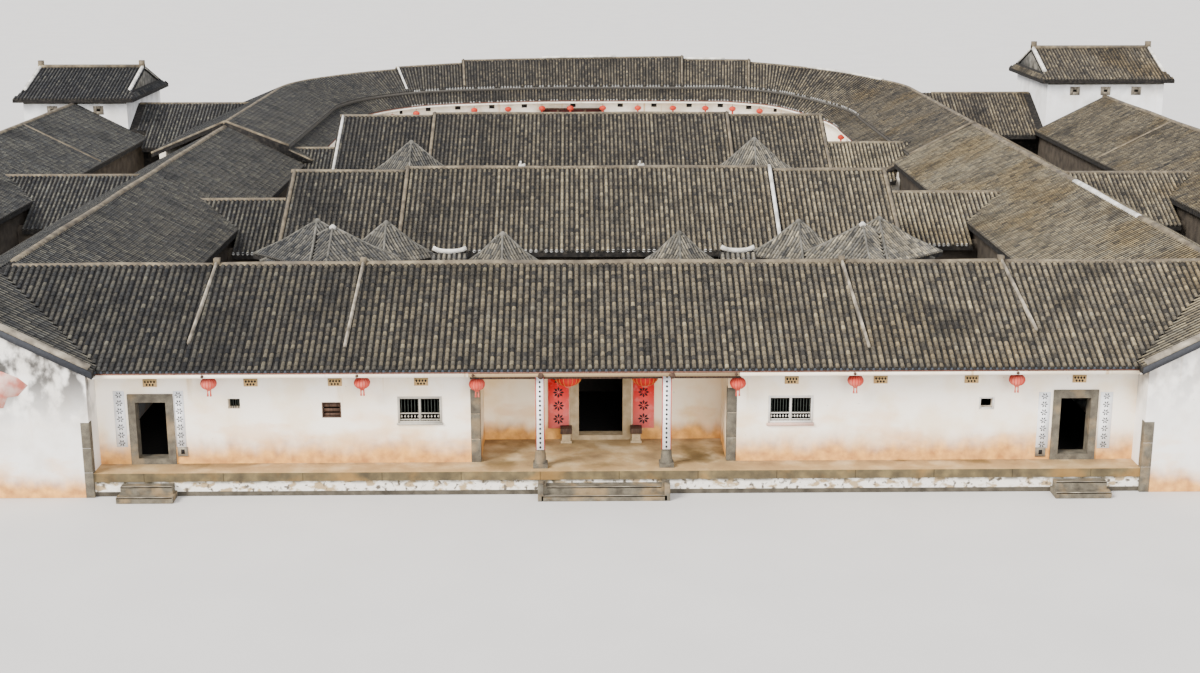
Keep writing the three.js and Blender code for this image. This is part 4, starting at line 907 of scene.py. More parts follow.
def lay_roofs():
    surfaces = roof_surfaces()
    groups = {}
    for surface in surfaces:
        groups.setdefault(surface.group, []).append(surface)
    ends = {"dark": Piece(), "grey": Piece(), "white": Piece()}
    drips = Piece()
    for group, members in groups.items():
        piece = Piece()
        near = group == "front_roof"
        for surface in members:
            others = [o for o in surfaces if o is not surface and o.covered]
            for points, at_eave in row_runs(surface, others):
                shade = SHADES.get(group, 0.58) + random.normal(0, 0.035 if near else 0.06)
                along = points[-1] - points[-2]
                along /= np.linalg.norm(along)
                hidden = along[1] > 0.5 or abs(points[-1][0]) > 35
                tile = TILE if near else HIDDEN_TILE if hidden else FAR_TILE
                scatter = 0.15 if "pavilion" in group else 0.11
                lay_tiles(piece, points, tile, shade, surface.barrel, near, scatter)
                side = np.array([along[1], -along[0], 0.0])
                side /= np.linalg.norm(side)
                foot = points[-1]
                if at_eave and near:
                    drip(drips, foot, along, side, 0.055)
                if at_eave:
                    far = abs(foot[0]) > 37 or foot[1] > 73
                    end_disc(ends[eave_kind(group, foot, along)], foot, along, side, near, far)
        piece.make(group + "_tiles", PALE_TILES if "pavilion" in group else TILES, "roof_tile")
    ends["dark"].make("tile_end_discs", TILE_ENDS, "roof_tile")
    ends["grey"].make("grey_tile_end_discs", GREY_ENDS, "roof_tile")
    ends["white"].make("pale_tile_end_discs", PALE_DOTS, "roof_tile")
    drips.make("drip_tiles", DRIPS, "roof_tile")


def end_disc(piece, foot, along, side, near, far):
    """The round face that closes a barrel row at the eave."""
    forward = level(along)
    centre = foot + forward * (-0.05 if far else 0.012) + UP * (0.02 if near else 0.03)
    size = 0.072 if near else 0.068
    angles = np.linspace(0, 2 * math.pi, 9 if near else 7)[:-1]
    front = [centre + (side * math.cos(a) + UP * math.sin(a)) * size for a in angles]
    piece.prism(front, [p - forward * 0.05 for p in front])


# Ridges, verges and hips

def front_z(y):
    """Height of the front roof."""
    slope = (FRONT["ridge_z"] - FRONT["eave_z"]) / FRONT["half"]
    return FRONT["ridge_z"] - slope * abs(y - FRONT["ridge_y"])


# Short verges on the front roof: x at the ridge, x at the foot, and how far down the slope they reach
FRONT_VERGES = [(-13.9, -14.15, 0.76), (-8.8, -9.0, 0.8), (7.9, 8.25, 0.82), (13.5, 13.95, 0.68)]
FRONT_RIDGE_LIFTS = [-0.02, 0.0, 0.03, 0.01, -0.02]


def ridge_and_verges():
    caps, white, verges, ends = several(4)
    front_ridge(caps, verges)
    wing_ridges(caps, white, verges)
    hall_ridges(caps, white)
    ring_ridges(caps, white, ends)
    link_ridges(caps)
    caps.make("ridge_caps_and_verges", RIDGE, "roof_tile")
    ends.make("horseshoe_end_walls", PANS_DIRT_AND_SHADE, "roof_tile")
    white.make("white_ridge_caps_and_verges", LIME, "lime_plaster")
    verges.make("pale_verges", VERGE, "lime_plaster")


def front_ridge(caps, verges):
    y, z = FRONT["ridge_y"], FRONT["ridge_z"]
    stops = [-21.0, *(x_top for x_top, _, _ in FRONT_VERGES), 21.0]
    for start, end, lift in zip(stops, stops[1:], FRONT_RIDGE_LIFTS):
        xs = np.linspace(start, end, 12)
        caps.band([(x, y, z + lift + 0.015 * math.sin(x)) for x in xs], 0.24, 0.06, 0.2)
    for x_top, x_foot, share in FRONT_VERGES:
        for side in (-1, 1):
            foot_y = y + side * FRONT["half"] * share
            path = between((x_top, y, z), (x_foot, foot_y, front_z(foot_y)), (0.02, 1))
            verges.band(path, 0.11, 0.15, 0.05)
        caps.box(x_top - 0.1, x_top + 0.1, y - 0.13, y + 0.13, z, z + 0.2)


# Where the right wing's ridge is newly plastered, and where a verge crosses the outer wings
WHITE_RIDGE = (13.0, 22.0)
CROSS_VERGE_Y = 42.3
SHORT_OF_EAVE = (0, 0.97)


def wing_ridges(caps, white, verges):
    """Ridges of the wings, one part of them white, and the verges down their slopes."""
    for side, name in SIDES:
        for wing, end in ((WING, WING_END), (OUTER, TOWERS[name]["wall"])):
            x, z = side * wing["ridge"], wing["ridge_z"]
            start = 5.4 if wing is WING else WING_FRONT
            stops = [start, *WHITE_RIDGE, end] if side > 0 and wing is WING else [start, end]
            for low, high in zip(stops, stops[1:]):
                target = white if (low, high) == WHITE_RIDGE else caps
                ys = np.linspace(low, high, 14)
                target.band([(x, y, z + 0.02 * math.sin(y * 0.7)) for y in ys], 0.3, 0.09, 0.15)
            for eave in ("inner", "outer"):
                foot_x, foot_z = side * wing[eave], wing["eave_z"]
                y = WING_FRONT + 0.2
                verges.band(between((x, y, z), (foot_x, y, foot_z), SHORT_OF_EAVE), 0.36, 0.13, 0.05)
                if wing is OUTER:
                    path = between((x, CROSS_VERGE_Y, z), (foot_x, CROSS_VERGE_Y, foot_z), SHORT_OF_EAVE)
                    caps.band(path, 0.24, 0.1, 0.05)


def pent_rise(offset):
    """Height of the lower eave's slope, measured from the upper eave."""
    return np.interp(-offset, [-PENT_TOP, -PENT_EAVE], [-PENT_TOP_FALL, -PENT_EAVE_FALL])


def ring_line(ridges, start, end, lift=0.0, count=24):
    runs = np.linspace(start, end, count)
    return [(*ring_point(run, 0), float(marked(ridges, run)) + lift) for run in runs]


# Newly plastered caps on the horseshoe: step of the ridge, run from and to, lift, width, height, points
WHITE_CAPS = [(2, 25.6, 31.0, 0.1, 0.3, 0.09, 8), (1, 17.6, 20.4, 0.08, 0.28, 0.08, 6),
              (0, 5.0, 11.5, 0.06, 0.3, 0.08, 10)]


def ring_ridges(caps, white, ends):
    for i, ridges in enumerate(RING_STEPS):
        start, end = ridges[0][0], ridges[-1][0]
        caps.band(ring_line(ridges, start, end, count=40 if end - start > 20 else 16), 0.24, 0.06, 0.12)
        if i:
            step_verges(white if i == 4 else caps, RING_STEPS[i - 1], ridges)
    horseshoe_ends(caps, ends)
    for step, start, end, lift, width, height, count in WHITE_CAPS:
        white.band(ring_line(RING_STEPS[step], start, end, lift, count), width, height, 0.05)


def step_verges(piece, before, ridges):
    """The verges at a step of the ridge, on the higher side of it."""
    higher = ridges[0][1] > before[-1][1]
    run = ridges[0][0] + (0.14 if higher else -0.14)
    high = max(ridges[0][1], before[-1][1]) + 0.04
    eave = ring_eave(run) - 0.01
    for offset, fall in ((RING_INNER, 0), (RING_OUTER, RING_OUTER_FALL)):
        path = between((*ring_point(run, 0), high), (*ring_point(run, offset), eave - fall), (0, 0.9), 6)
        piece.band(path, 0.15, 0.1, 0.05)


def horseshoe_ends(caps, ends):
    """Verges and end walls where the horseshoe's roofs rise over the wings' ends."""
    y = WING_END + 0.08
    for side, ridges, run in ((1, RING_STEPS[0], 0), (-1, RING_STEPS[4], RING_RUN)):
        eave, top = ring_eave(run), float(marked(ridges, run))

        def at(offset, z, sign=side):
            return (sign * (RING_RIDGE + offset), y, z)

        caps.band(between(at(0, top), at(RING_INNER, eave)), 0.14, 0.1, 0.05)
        caps.band(between(at(0, top), at(RING_OUTER, eave - RING_OUTER_FALL)), 0.14, 0.1, 0.05)
        path = between(at(-3.3, eave + pent_rise(-3.3)), at(-4.88, eave + pent_rise(-4.88)), count=6)
        caps.band(path, 0.14, 0.08, 0.05)
        corners = [(0, top), (RING_INNER, eave), (RING_INNER, eave - 0.24),
                   (PENT_EAVE, eave - PENT_EAVE_FALL), (PENT_EAVE, eave - 1.1), (0, top - 1.0)]
        outline = [(side * (RING_RIDGE + offset), z) for offset, z in corners]
        ends.plate(outline if side < 0 else outline[::-1], WING_END - 0.1, WING_END + 0.03)


# Small white caps with a finial on the middle hall's ridge
WHITE_FINIALS = [-3.77, 1.48]
END_VERGE_DROP = 0.14


def hall_ridges(caps, white):
    for hall in (MIDDLE_HALL, REAR_HALL):
        y, z, drop = hall["y"], hall["ridge_z"], hall["drop"]
        left, low_left, low_right, right = (hall[key] for key in ("left", "low_left", "low_right", "right"))
        for x0, x1, fall in ((left, low_left, drop), (low_left, low_right, 0.0), (low_right, right, drop)):
            xs = np.linspace(x0, x1, 12)
            caps.band([(x, y, z - fall + 0.015 * math.sin(x * 0.8)) for x in xs], 0.24, 0.06, 0.1)
        left_piece, right_piece = (caps, white) if hall is MIDDLE_HALL else (white, caps)
        verges = ((left + 0.15, END_VERGE_DROP, left_piece), (right - 0.15, END_VERGE_DROP, caps),
                  (low_left + 0.12, 0.0, caps), (low_right - 0.12, 0.0, right_piece))
        for x, fall, target in verges:
            for side in (-1, 1):
                foot = (x, y + side * hall["half"], hall["eave_z"] - fall)
                target.band(between((x, y, z - fall), foot, (0, 0.96)), 0.16, 0.1, 0.04)
    for x in WHITE_FINIALS:
        y = MIDDLE_HALL["y"]
        white.band([(x - 0.15, y, 7.72), (x, y, 7.68), (x + 0.15, y, 7.72)], 0.14, 0.1, 0.06)
        white.box(x - 0.09, x - 0.02, y - 0.04, y + 0.04, 7.7, 7.92)


def link_ridges(caps):
    """Ridges of the cross roofs, from a hall or a wing to where they meet the next slope."""
    for side, name in SIDES:
        front, rear, tower = FRONT_LINK[name], REAR_LINK[name], OUTER_REAR_LINK[name]
        reach = WING["inner"] + (front["ridge_z"] - WING["eave_z"]) / WING_SLOPE
        inner_end = WING["outer"] - (OUTER_FRONT_LINK["ridge_z"] - WING["eave_z"]) / WING_SLOPE
        outer_end = OUTER["inner"] + (OUTER_FRONT_LINK["ridge_z"] - OUTER["eave_z"]) / WING_SLOPE
        runs = ((front, abs(MIDDLE_HALL[name]) + 0.1, reach), (rear, abs(REAR_HALL[name]) + 0.1, 17.95),
                (OUTER_FRONT_LINK, inner_end, outer_end), (tower, 22.6, TOWERS[name]["x0"] + 0.4))
        for link, x0, x1 in runs:
            y, z = link["y"], link["ridge_z"]
            caps.band(between((side * x0, y, z), (side * x1, y, z)), 0.24, 0.06, 0.1)


def pavilion_hips():
    """Hips and knobs of the pavilions, and the curved white ridges of the gate roofs."""
    hips, white = Piece(), Piece()
    for i, (x0, y0, top, reach, eave) in enumerate(COURT_PAVILIONS + REAR_PAVILIONS):
        for sx, sy in ((1, 0), (-1, 0), (0, 1), (0, -1)):
            path = []
            for d in (0.06, 0.17, reach / 4, reach / 2, reach * 0.75, reach - 0.02):
                path.append((x0 + sx * d, y0 + sy * d, float(pyramid_fall(top, reach, eave, d))))
            hips.band(path, 0.1, 0.06, 0.05)
        target = white if i in (0, 4) else hips
        knob = [(0.13, -0.1), (0.14, 0.05), (0.09, 0.1), (0.04, 0.14)]
        target.turned(x0, y0, [(radius, top + rise) for radius, rise in knob], 10)
    for x, y, top in GATES:
        xs = np.linspace(-0.66, 0.66, 9)
        white.band([(x + dx, y, top + 0.04 + 0.5 * abs(dx) ** 3) for dx in xs], 0.13, 0.1, 0.06)
    hips.make("pavilion_hips", HIP, "roof_tile")
    white.make("white_gate_ridges_and_caps", LIME, "lime_plaster")


# Front details: strips, boards and panels by x from and to, then z; steps also by y

EAVE_FACE = -0.9
EAVE_VENTS = [-15.44, -12.13, -9.36, -6.52, 5.73, 8.68, 11.70, 15.29]
STRIPS = [(-16.68, -16.31, 1.42, 3.36), (-14.70, -14.37, 1.41, 3.35), (13.98, 14.38, 1.21, 3.17),
          (16.04, 16.46, 1.20, 3.16)]
NICHES = [(-14.50, 1.24), (14.15, 1.07)]
COLUMN_BOARDS = [(-2.73, -2.46), (1.42, 1.71)]
RED_PANELS = {"left": (-2.38, -1.66), "right": (0.56, 1.29)}
PEDESTALS = {"left": -1.76, "right": 0.66}
SMALL_LANTERNS = {"left": [-13.40, -8.40, -4.65], "right": [3.90, 7.76, 13.08]}
BIG_LANTERNS = {"left": -1.67, "right": 0.87}
SMALL_LANTERN_Y, BIG_LANTERN_Y, REAR_LANTERN_OFFSET = -0.5, 0.11, -4.75
STEP_EDGES = [(-2.55, 1.55, -1.6, 0.18), (-2.4, 1.4, -1.35, 0.4), (-16.39, -14.55, -1.6, 0.2),
              (-16.32, -14.62, -1.25, 0.45), (14.3, 16.14, -1.6, 0.2), (14.37, 16.07, -1.25, 0.45)]


PETAL = [(0.16, 0.0), (0.68, -0.3), (1.0, 0.0), (0.68, 0.3)]


def flower(piece, x, z, size, y, petals=8):
    """A plain painted flower, the same wherever it is repeated."""
    for k in range(petals):
        turn = 2 * math.pi * k / petals
        outline = [(x + size * r * math.cos(turn + a), z + size * r * math.sin(turn + a)) for r, a in PETAL]
        piece.plate(outline, y - 0.008, y)


def lozenge(piece, x, z, half_x, half_z, y):
    piece.plate([(x - half_x, z), (x, z - half_z), (x + half_x, z), (x, z + half_z)], y - 0.008, y)


def ring_frame(piece, x0, x1, z0, z1, width, y0, y1):
    """A rectangular frame that stands outside an opening by its width."""
    piece.box(x0 - width, x0, y0, y1, z0 - width, z1 + width)
    piece.box(x1, x1 + width, y0, y1, z0 - width, z1 + width)
    piece.box(x0, x1, y0, y1, z0 - width, z0)
    piece.box(x0, x1, y0, y1, z1, z1 + width)


def eave_trim():
    """Red-brown fascia, plastered soffit edge and pierced vent bricks under the front eave."""
    boards, soffit, shaded, bricks, holes, logs = several(6)
    reach, left, right = FRONT["wall"] - 0.05, PORCH["left"], PORCH["right"]
    boards.box(-reach, reach, EAVE_FACE - 0.02, EAVE_FACE, 4.16, 4.2)
    # Over the porch the soffit edge is painted duller, as painted shade
    for x0, x1, target in ((-reach, left, soffit), (left, right, shaded), (right, reach, soffit)):
        target.box(x0, x1, EAVE_FACE - 0.008, EAVE_FACE, 4.032, 4.16)
    for x in EAVE_VENTS:
        bricks.box(x - 0.23, x + 0.23, -0.03, 0.01, 3.5, 3.76)
        for row, z in enumerate((3.57, 3.67)):
            for k in range(4 if row else 3):
                middle = x + (k - (1.5 if row else 1.0)) * 0.1
                lozenge(holes, middle, z, 0.04, 0.05, -0.03)
    for x in SMALL_LANTERNS["left"] + SMALL_LANTERNS["right"]:
        logs.log(x - 0.1, 4.1, -0.96, -0.7, 0.05, 8)
    for x in (-2.55, 1.72):
        logs.log(x, 4.07, -0.98, -0.6, 0.1)
    boards.make("eave_fascia", EAVE_WOOD, "dark_timber")
    soffit.make("eave_soffit_edge", FRONT_PLASTER, "lime_plaster")
    shaded.make("porch_soffit_edge", PORCH_SOFFIT_SHADE, "lime_plaster")
    bricks.make("eave_vent_bricks", TERRACOTTA, "lime_plaster")
    holes.make("eave_vent_holes", HOLLOW_SHADE, "dark_timber")
    logs.make("rafter_and_beam_ends", TIMBER, "dark_timber")


def barred_window(frame, bars, x, z, w, h, count):
    """Two sashes in a frame, upright bars above a rail and a row of small lozenges below it."""
    x0, x1, z0, z1 = x - w / 2, x + w / 2, z - h / 2, z + h / 2
    ring_frame(frame, x0 + 0.05, x1 - 0.05, z0 + 0.05, z1 - 0.05, 0.07, -0.03, 0.07)
    frame.box(x - 0.035, x + 0.035, -0.01, 0.06, z0 + 0.05, z1 - 0.05)
    rail = z0 + h * 0.34
    frame.box(x0 + 0.05, x1 - 0.05, 0.0, 0.05, rail, rail + 0.03)
    frame.box(x0 + 0.05, x1 - 0.05, 0.0, 0.05, z0 + 0.09, z0 + 0.115)
    for k in range(count):
        bar = x0 + 0.05 + (w - 0.1) * (k + 0.5) / count
        bars.box(bar - 0.011, bar + 0.011, 0.02, 0.045, z0 + 0.05, z1 - 0.05)
        lozenge(frame, bar, (rail + z0 + 0.115) / 2, 0.03, 0.05, 0.02)


# Windows: middle x and z, width, height, number of bars; or x from and to, z from and to
BARRED_WINDOWS = {"left": (-6.59, 2.66, 1.42, 0.88, 12), "right": (5.72, 2.62, 1.45, 0.9, 14)}
PLAIN_WINDOW, BOARDED_WINDOW = (12.05, 12.45, 2.64, 2.96), (-9.79, -9.23, 2.44, 2.9)
GRILLE_X, GRILLE_Z = -12.84, (2.73, 3.07)


def windows():
    """The front's windows: frames, bars, a sill and boards."""
    beige, white, bars, sill, boards = several(5)
    barred_window(beige, bars, *BARRED_WINDOWS["left"])
    barred_window(white, bars, *BARRED_WINDOWS["right"])
    beige.box(-7.36, -5.82, -0.06, 0.02, 2.15, 2.21)
    sill.box(4.93, 6.51, -0.07, 0.02, 2.06, 2.15)
    ring_frame(white, *PLAIN_WINDOW, 0.05, -0.02, 0.1)
    ring_frame(boards, *BOARDED_WINDOW, 0.035, -0.012, 0.1)
    for z in (2.44, 2.6, 2.76):
        boards.box(-9.81, -9.21, 0.05, 0.08, z, z + 0.11)
    for k in range(4):
        bars.box(GRILLE_X + k * 0.08, GRILLE_X + 0.02 + k * 0.08, 0.04, 0.06, *GRILLE_Z)
    beige.make("beige_window_frames", BEIGE_FRAME, "grey_stone")
    white.make("white_window_frames", WHITE_FRAME, "lime_plaster")
    bars.make("window_bars", IRON, "dark_timber")
    sill.make("window_sill", SILL, "lime_plaster")
    boards.make("boarded_window", TIMBER, "dark_timber")


def strips_and_panels():
    """Plain painted strips beside the doors and on the columns, and faded red panels by the main door."""
    paper, marks, edges = several(3)
    for x0, x1, z0, z1 in STRIPS:
        paper.box(x0, x1, -0.015, 0.005, z0, z1)
        for k in range(7):
            flower(marks, (x0 + x1) / 2, z0 + (z1 - z0) * (k + 0.5) / 7, 0.12, -0.015, 6)
    for x0, x1 in COLUMN_BOARDS:
        paper.box(x0, x1, -0.61, -0.58, 1.44, 4.08)
        for x in (x0, x1):
            edges.box(x - 0.012, x + 0.012, -0.618, -0.585, 1.44, 4.08)
        for k in range(16):
            lozenge(marks, (x0 + x1) / 2, 1.53 + k * 0.16, 0.045, 0.055, -0.61)
    for side, (x0, x1) in RED_PANELS.items():
        panel = Piece()
        panel.box(x0, x1, PORCH["back"] - 0.07, PORCH["back"] - 0.005, 1.24, 3.4)
        panel.make(side + "_panel_paper", RED_PAPER, "red_paper", [side + "_red_panel"])
        for z in (1.58, 2.06, 2.54, 3.02):
            flower(marks, (x0 + x1) / 2, z, 0.2, PORCH["back"] - 0.07)
    paper.make("white_strips", WHITE_PAPER, "lime_plaster")
    marks.make("painted_flowers", INK, "dark_timber")
    edges.make("red_board_edges", RED_LANTERN, "red_paper")


def stone_trim():
    """Corner stones of the porch and of the wings, pedestal tops, niches and the edges of the steps."""
    corners, tops, niches, holes, edges = several(5)
    for x0, x1 in ((-4.912, -4.588), (3.608, 3.932)):
        for z0, z1 in ((0.822, 1.62), (1.63, 2.5), (2.51, 3.37)):
            corners.box(x0, x1, -0.014, 0.28, z0, z1)
    for x0, x1, top in ((-17.52, -17.236, 2.58), (17.236, 17.56, 2.43)):
        for z0, z1 in ((0.0, 0.86), (0.87, 1.7), (1.71, top)):
            corners.box(x0, x1, -1.014, -0.72, z0, z1)
    for x in (-2.58, 1.56):
        corners.box(x - 0.09, x + 0.09, -1.6, -1.12, 0.0, 0.56)
    for side, x in PEDESTALS.items():
        pedestal = Piece()
        pedestal.box(x - 0.19, x + 0.19, 1.9, 2.3, FLOOR, 0.9)
        pedestal.box(x - 0.15, x + 0.15, 1.94, 2.3, 0.9, 1.17)
        pedestal.make(side + "_pedestal_stone", PORCH_STONE, "grey_stone", [side + "_door_pedestal"],
                      bevel=0.01)
        tops.box(x - 0.2, x + 0.2, 1.86, 2.3, 1.17, 1.36)
    for x, z in NICHES:
        niches.box(x - 0.17, x + 0.17, -0.025, 0.005, z - 0.16, z + 0.17)
        holes.box(x - 0.06, x + 0.06, -0.03, -0.02, z - 0.07, z + 0.09)
    for x0, x1, y, z in STEP_EDGES:
        edges.box(x0 + 0.01, x1 - 0.01, y, y + 0.05, z - 0.045, z + 0.008)
    corners.make("corner_stones", STONE, "grey_stone", bevel=0.008)
    tops.make("pedestal_tops", TIMBER, "dark_timber", bevel=0.012)
    niches.make("wall_niches", VERGE, "grey_stone")
    holes.make("niche_hollows", HOLLOW_SHADE, "dark_timber")
    edges.make("step_edges", VERGE, "grey_stone", bevel=0.01)


def lantern_profile(radius, middle, height):
    turns = np.linspace(-1, 1, 11)
    return [(radius * math.sqrt(1 - 0.9 * t * t), middle + t * height / 2) for t in turns]


def lantern_ribs(piece, x, y, profile, count, half):
    """Thin strips down the outside of a lantern."""
    for k in range(count):
        turn = 2 * math.pi * (k + 0.5) / count
        out = np.array([math.cos(turn), math.sin(turn), 0])
        across = np.array([-math.sin(turn), math.cos(turn), 0])
        rings = []
        for radius, z in profile:
            foot = np.array([x, y, z])
            corners = ((-0.01, -half), (0.007, -half), (0.007, half), (-0.01, half))
            rings.append([foot + out * (radius + a) + across * b for a, b in corners])
        piece.tube(rings)


def lanterns():
    caps, tassels, gold, folds, rear = several(5)
    for side, xs in SMALL_LANTERNS.items():
        cloth = Piece()
        for x in xs:
            small_lantern(cloth, caps, tassels, folds, x)
        cloth.make(side + "_small_lanterns", PINK_LANTERN, "red_paper", [side + "_eave_rail"], smooth=True)
    for side, x in BIG_LANTERNS.items():
        cloth = Piece()
        big_lantern(cloth, caps, tassels, gold, x)
        cloth.make(side + "_big_lantern_cloth", RED_LANTERN, "red_paper", [side + "_big_lantern"],
                   smooth=True)
    for run in RING_LANTERNS:
        x, y = ring_point(run, REAR_LANTERN_OFFSET)
        z = ring_eave(run) - 1.4
        rear.turned(x, y, lantern_profile(0.24, z, 0.34), 12)
        rear.turned(x, y, [(0.08, z - 0.4), (0.05, z - 0.16)], 8)
        caps.box(x - 0.01, x + 0.01, y - 0.01, y + 0.01, z + 0.15, z + 0.42)
    caps.make("lantern_caps_and_hooks", IRON, "dark_timber")
    tassels.make("lantern_tassels", PINK_LANTERN, "red_paper")
    rear.make("rear_lanterns", REAR_LANTERN, "red_paper")
    gold.make("lantern_gold_ribs", GOLD, "red_paper")
    folds.make("lantern_folds", RED_LANTERN, "red_paper")


def small_lantern(cloth, caps, tassels, folds, x):
    """A faded lantern with two tassels; those beside the porch hang a little lower."""
    y, z = SMALL_LANTERN_Y, 3.75 - (0.07 if abs(x) < 5 else 0.0)
    profile = lantern_profile(0.26, z, 0.4)
    cloth.turned(x, y, profile, 20)
    lantern_ribs(folds, x, y, profile, 16, 0.006)
    caps.turned(x, y, [(0.09, z + 0.18), (0.1, z + 0.24), (0.03, z + 0.25)], 12)
    caps.box(x - 0.008, x + 0.008, y - 0.008, y + 0.008, z + 0.24, 4.1)
    tassels.turned(x, y, [(0.06, z - 0.25), (0.1, z - 0.19)], 12)
    for shift in (-0.045, 0.05):
        tassels.turned(x + shift, y, [(0.035, z - 0.44), (0.022, z - 0.33), (0.02, z - 0.23)], 8)


def big_lantern(cloth, caps, tassels, gold, x):
    y, z = BIG_LANTERN_Y, 3.74
    profile = lantern_profile(0.44, z, 0.6)
    cloth.turned(x, y, profile, 32)
    lantern_ribs(gold, x, y, profile, 18, 0.005)
    gold.turned(x, y, [(0.17, z + 0.28), (0.17, z + 0.33)], 16)
    caps.box(x - 0.012, x + 0.012, y - 0.012, y + 0.012, z + 0.31, 4.45)
    tassels.turned(x, y, [(0.09, z - 0.36), (0.14, z - 0.29)], 16)


def gable_trim():
    """Slate-coloured boards and a white moulding under the wings' front verges, a faded wash on the left one;
    the boards' dark is partly a painted frieze and partly painted shade under the overhanging verge.
    """
    boards, moulding, wash = several(3)
    for side in (-1, 1):
        for wing in (WING, OUTER):
            ridge, ridge_z = side * wing["ridge"], wing["ridge_z"]
            for eave in ("inner", "outer"):
                reach = side * min(wing[eave], HIDDEN_X)
                slope = (ridge_z - wing["eave_z"]) / abs(wing[eave] - wing["ridge"])
                low = ridge_z - slope * abs(reach - ridge)
                for piece, top, deep, y in ((boards, 0.0, 0.24, -1.25), (moulding, -0.26, 0.05, -1.0)):
                    (x0, z0), (x1, z1) = sorted([(ridge, ridge_z + top), (reach, low + top)])
                    board = [(x0, z0 - deep), (x1, z1 - deep), (x1, z1), (x0, z0)]
                    piece.plate(board, y - 0.02, y + 0.005)
    outline = [(-20.7, 3.2), (-20.3, 3.05), (-19.95, 3.1), (-19.8, 3.45), (-19.45, 3.5), (-19.1, 3.86),
               (-19.4, 4.12), (-19.9, 4.32), (-20.7, 4.4)]
    wash.plate(outline, -1.008, -0.998)
    boards.make("gable_verge_boards_and_shade", VERGE_BOARD_AND_SHADE, "dark_timber")
    moulding.make("gable_mouldings", LIME, "lime_plaster")
    wash.make("faded_red_wash", FADED_WASH, "red_paper")


# Horseshoe and tower details: vents and lanterns by their run along it, posts of the rear opening by x

RING_VENTS = [42.8, 39.5, 37.3, 34.8, 32.4, 28.8, 25.3, 22.8, 20.2, 17.9, 15.8, 13.3]
REAR_POSTS = [-3.82, -2.68, -0.76, 0.46]
RING_LANTERNS = [54.2, 44.4, 41.0, 36.1, 33.6, 31.1, 29.0, 26.6, 24.0, 21.4, 19.0, 17.0, 15.0, 0.2]


def ring_strip(piece, start, end, near, far, rise_near, rise_far, deep, count=60):
    """A bar along the horseshoe between two offsets; its heights are measured from the upper eave."""
    rings = []
    for run in np.linspace(start, end, count):
        eave = ring_eave(run)
        corners = ((near, rise_near), (far, rise_far), (far, rise_far - deep), (near, rise_near - deep))
        rings.append([(*ring_point(run, offset), eave + rise) for offset, rise in corners])
    piece.tube(rings)


def ring_details():
    """The horseshoe's lower eave, the edge of its upper one, vent holes and the red rear opening."""
    pans, fascia, edge, upper, holes, red, posts = several(7)
    start, end = -TAIL_RUN + 0.3, RING_RUN + TAIL_RUN - 0.3
    rise, foot = float(pent_rise(-3.45)) + 0.012, 0.012 - PENT_EAVE_FALL
    ring_strip(pans, start, end, -3.45, PENT_EAVE, rise, foot, 0.02, 90)
    ring_strip(fascia, start, end, PENT_EAVE, PENT_EAVE - 0.02, foot, foot, 0.07, 90)
    ring_strip(edge, start, end, PENT_EAVE, PENT_EAVE - 0.01, foot - 0.07, foot - 0.07, 0.12, 90)
    ring_strip(upper, start, end, RING_INNER, RING_INNER - 0.01, 0.0, 0.0, 0.22, 90)
    for run in RING_VENTS:
        eave = ring_eave(run)
        corners = ((run + 0.2, -1.38), (run - 0.2, -1.38), (run - 0.2, -1.1), (run + 0.2, -1.1))
        points = [(*ring_point(at, RING_WALL - 0.02), eave + z) for at, z in corners]
        shift = np.subtract(ring_point(run, RING_WALL + 0.02), ring_point(run, RING_WALL - 0.02))
        holes.slab(points, (*shift, 0))
    red.box(REAR_POSTS[0], REAR_POSTS[-1], 65.72, 65.76, 3.7, 4.7)
    for x in REAR_POSTS:
        posts.box(x - 0.09, x + 0.09, 65.66, 65.73, 3.7, 4.7)
    posts.box(-3.95, 0.6, 65.66, 65.73, 4.66, 4.76)
    pans.make("horseshoe_lower_eave_pans", PANS_DIRT_AND_SHADE, "roof_tile")
    fascia.make("horseshoe_lower_eave_fascia", EAVE_WOOD, "dark_timber")
    edge.make("horseshoe_lower_eave_edge", COURT_PLASTER, "lime_plaster")
    upper.make("horseshoe_upper_eave_edge", GREY_ENDS, "roof_tile")
    holes.make("horseshoe_vent_holes", HOLLOW_SHADE, "dark_timber")
    red.make("rear_opening_boards", RED_WOOD, "dark_red_timber")
    posts.make("rear_opening_posts", TIMBER, "dark_timber")


def tower_details():
    """White verges and grey gable fields, ridges, a cornice under the front eave, window surrounds."""
    white, grey, pale, caps = several(4)
    for side, name in SIDES:
        tower_gables(white, grey, side, TOWERS[name])
        tower_ridge(caps, side, TOWERS[name])
        tower_front(grey, pale, side, TOWERS[name])
    caps.make("tower_ridge_caps", RIDGE, "roof_tile")
    white.make("tower_white_verges", LIME, "lime_plaster")
    grey.make("tower_gable_fields_and_cornices", HIP, "lime_plaster")
    pale.make("tower_window_surrounds", VERGE, "lime_plaster")


def tower_gables(white, grey, side, t):
    middle, ridge = (t["y0"] + t["y1"]) / 2, t["ridge_z"]
    fall = (ridge - t["eave_z"]) / (middle - t["y0"])
    foot = t["eave_z"] + SKIRT_RISE
    half = (ridge - foot) / fall
    for x, out in ((t["x0"] + SKIRT, -1), (t["x1"] - SKIRT, 1)):
        verge_x = side * (x - out * 0.1)
        for end in (-1, 1):
            low_end = (verge_x, middle + end * half, foot + 0.05)
            white.band(between((verge_x, middle, ridge + 0.05), low_end, count=5), 0.24, 0.1, 0.1)
        field = [(side * x, middle - half + 0.3, foot), (side * x, middle + half - 0.3, foot),
                 (side * x, middle, ridge - 0.12)]
        grey.slab(field if side * out > 0 else field[::-1], (-side * out * 0.03, 0, 0))


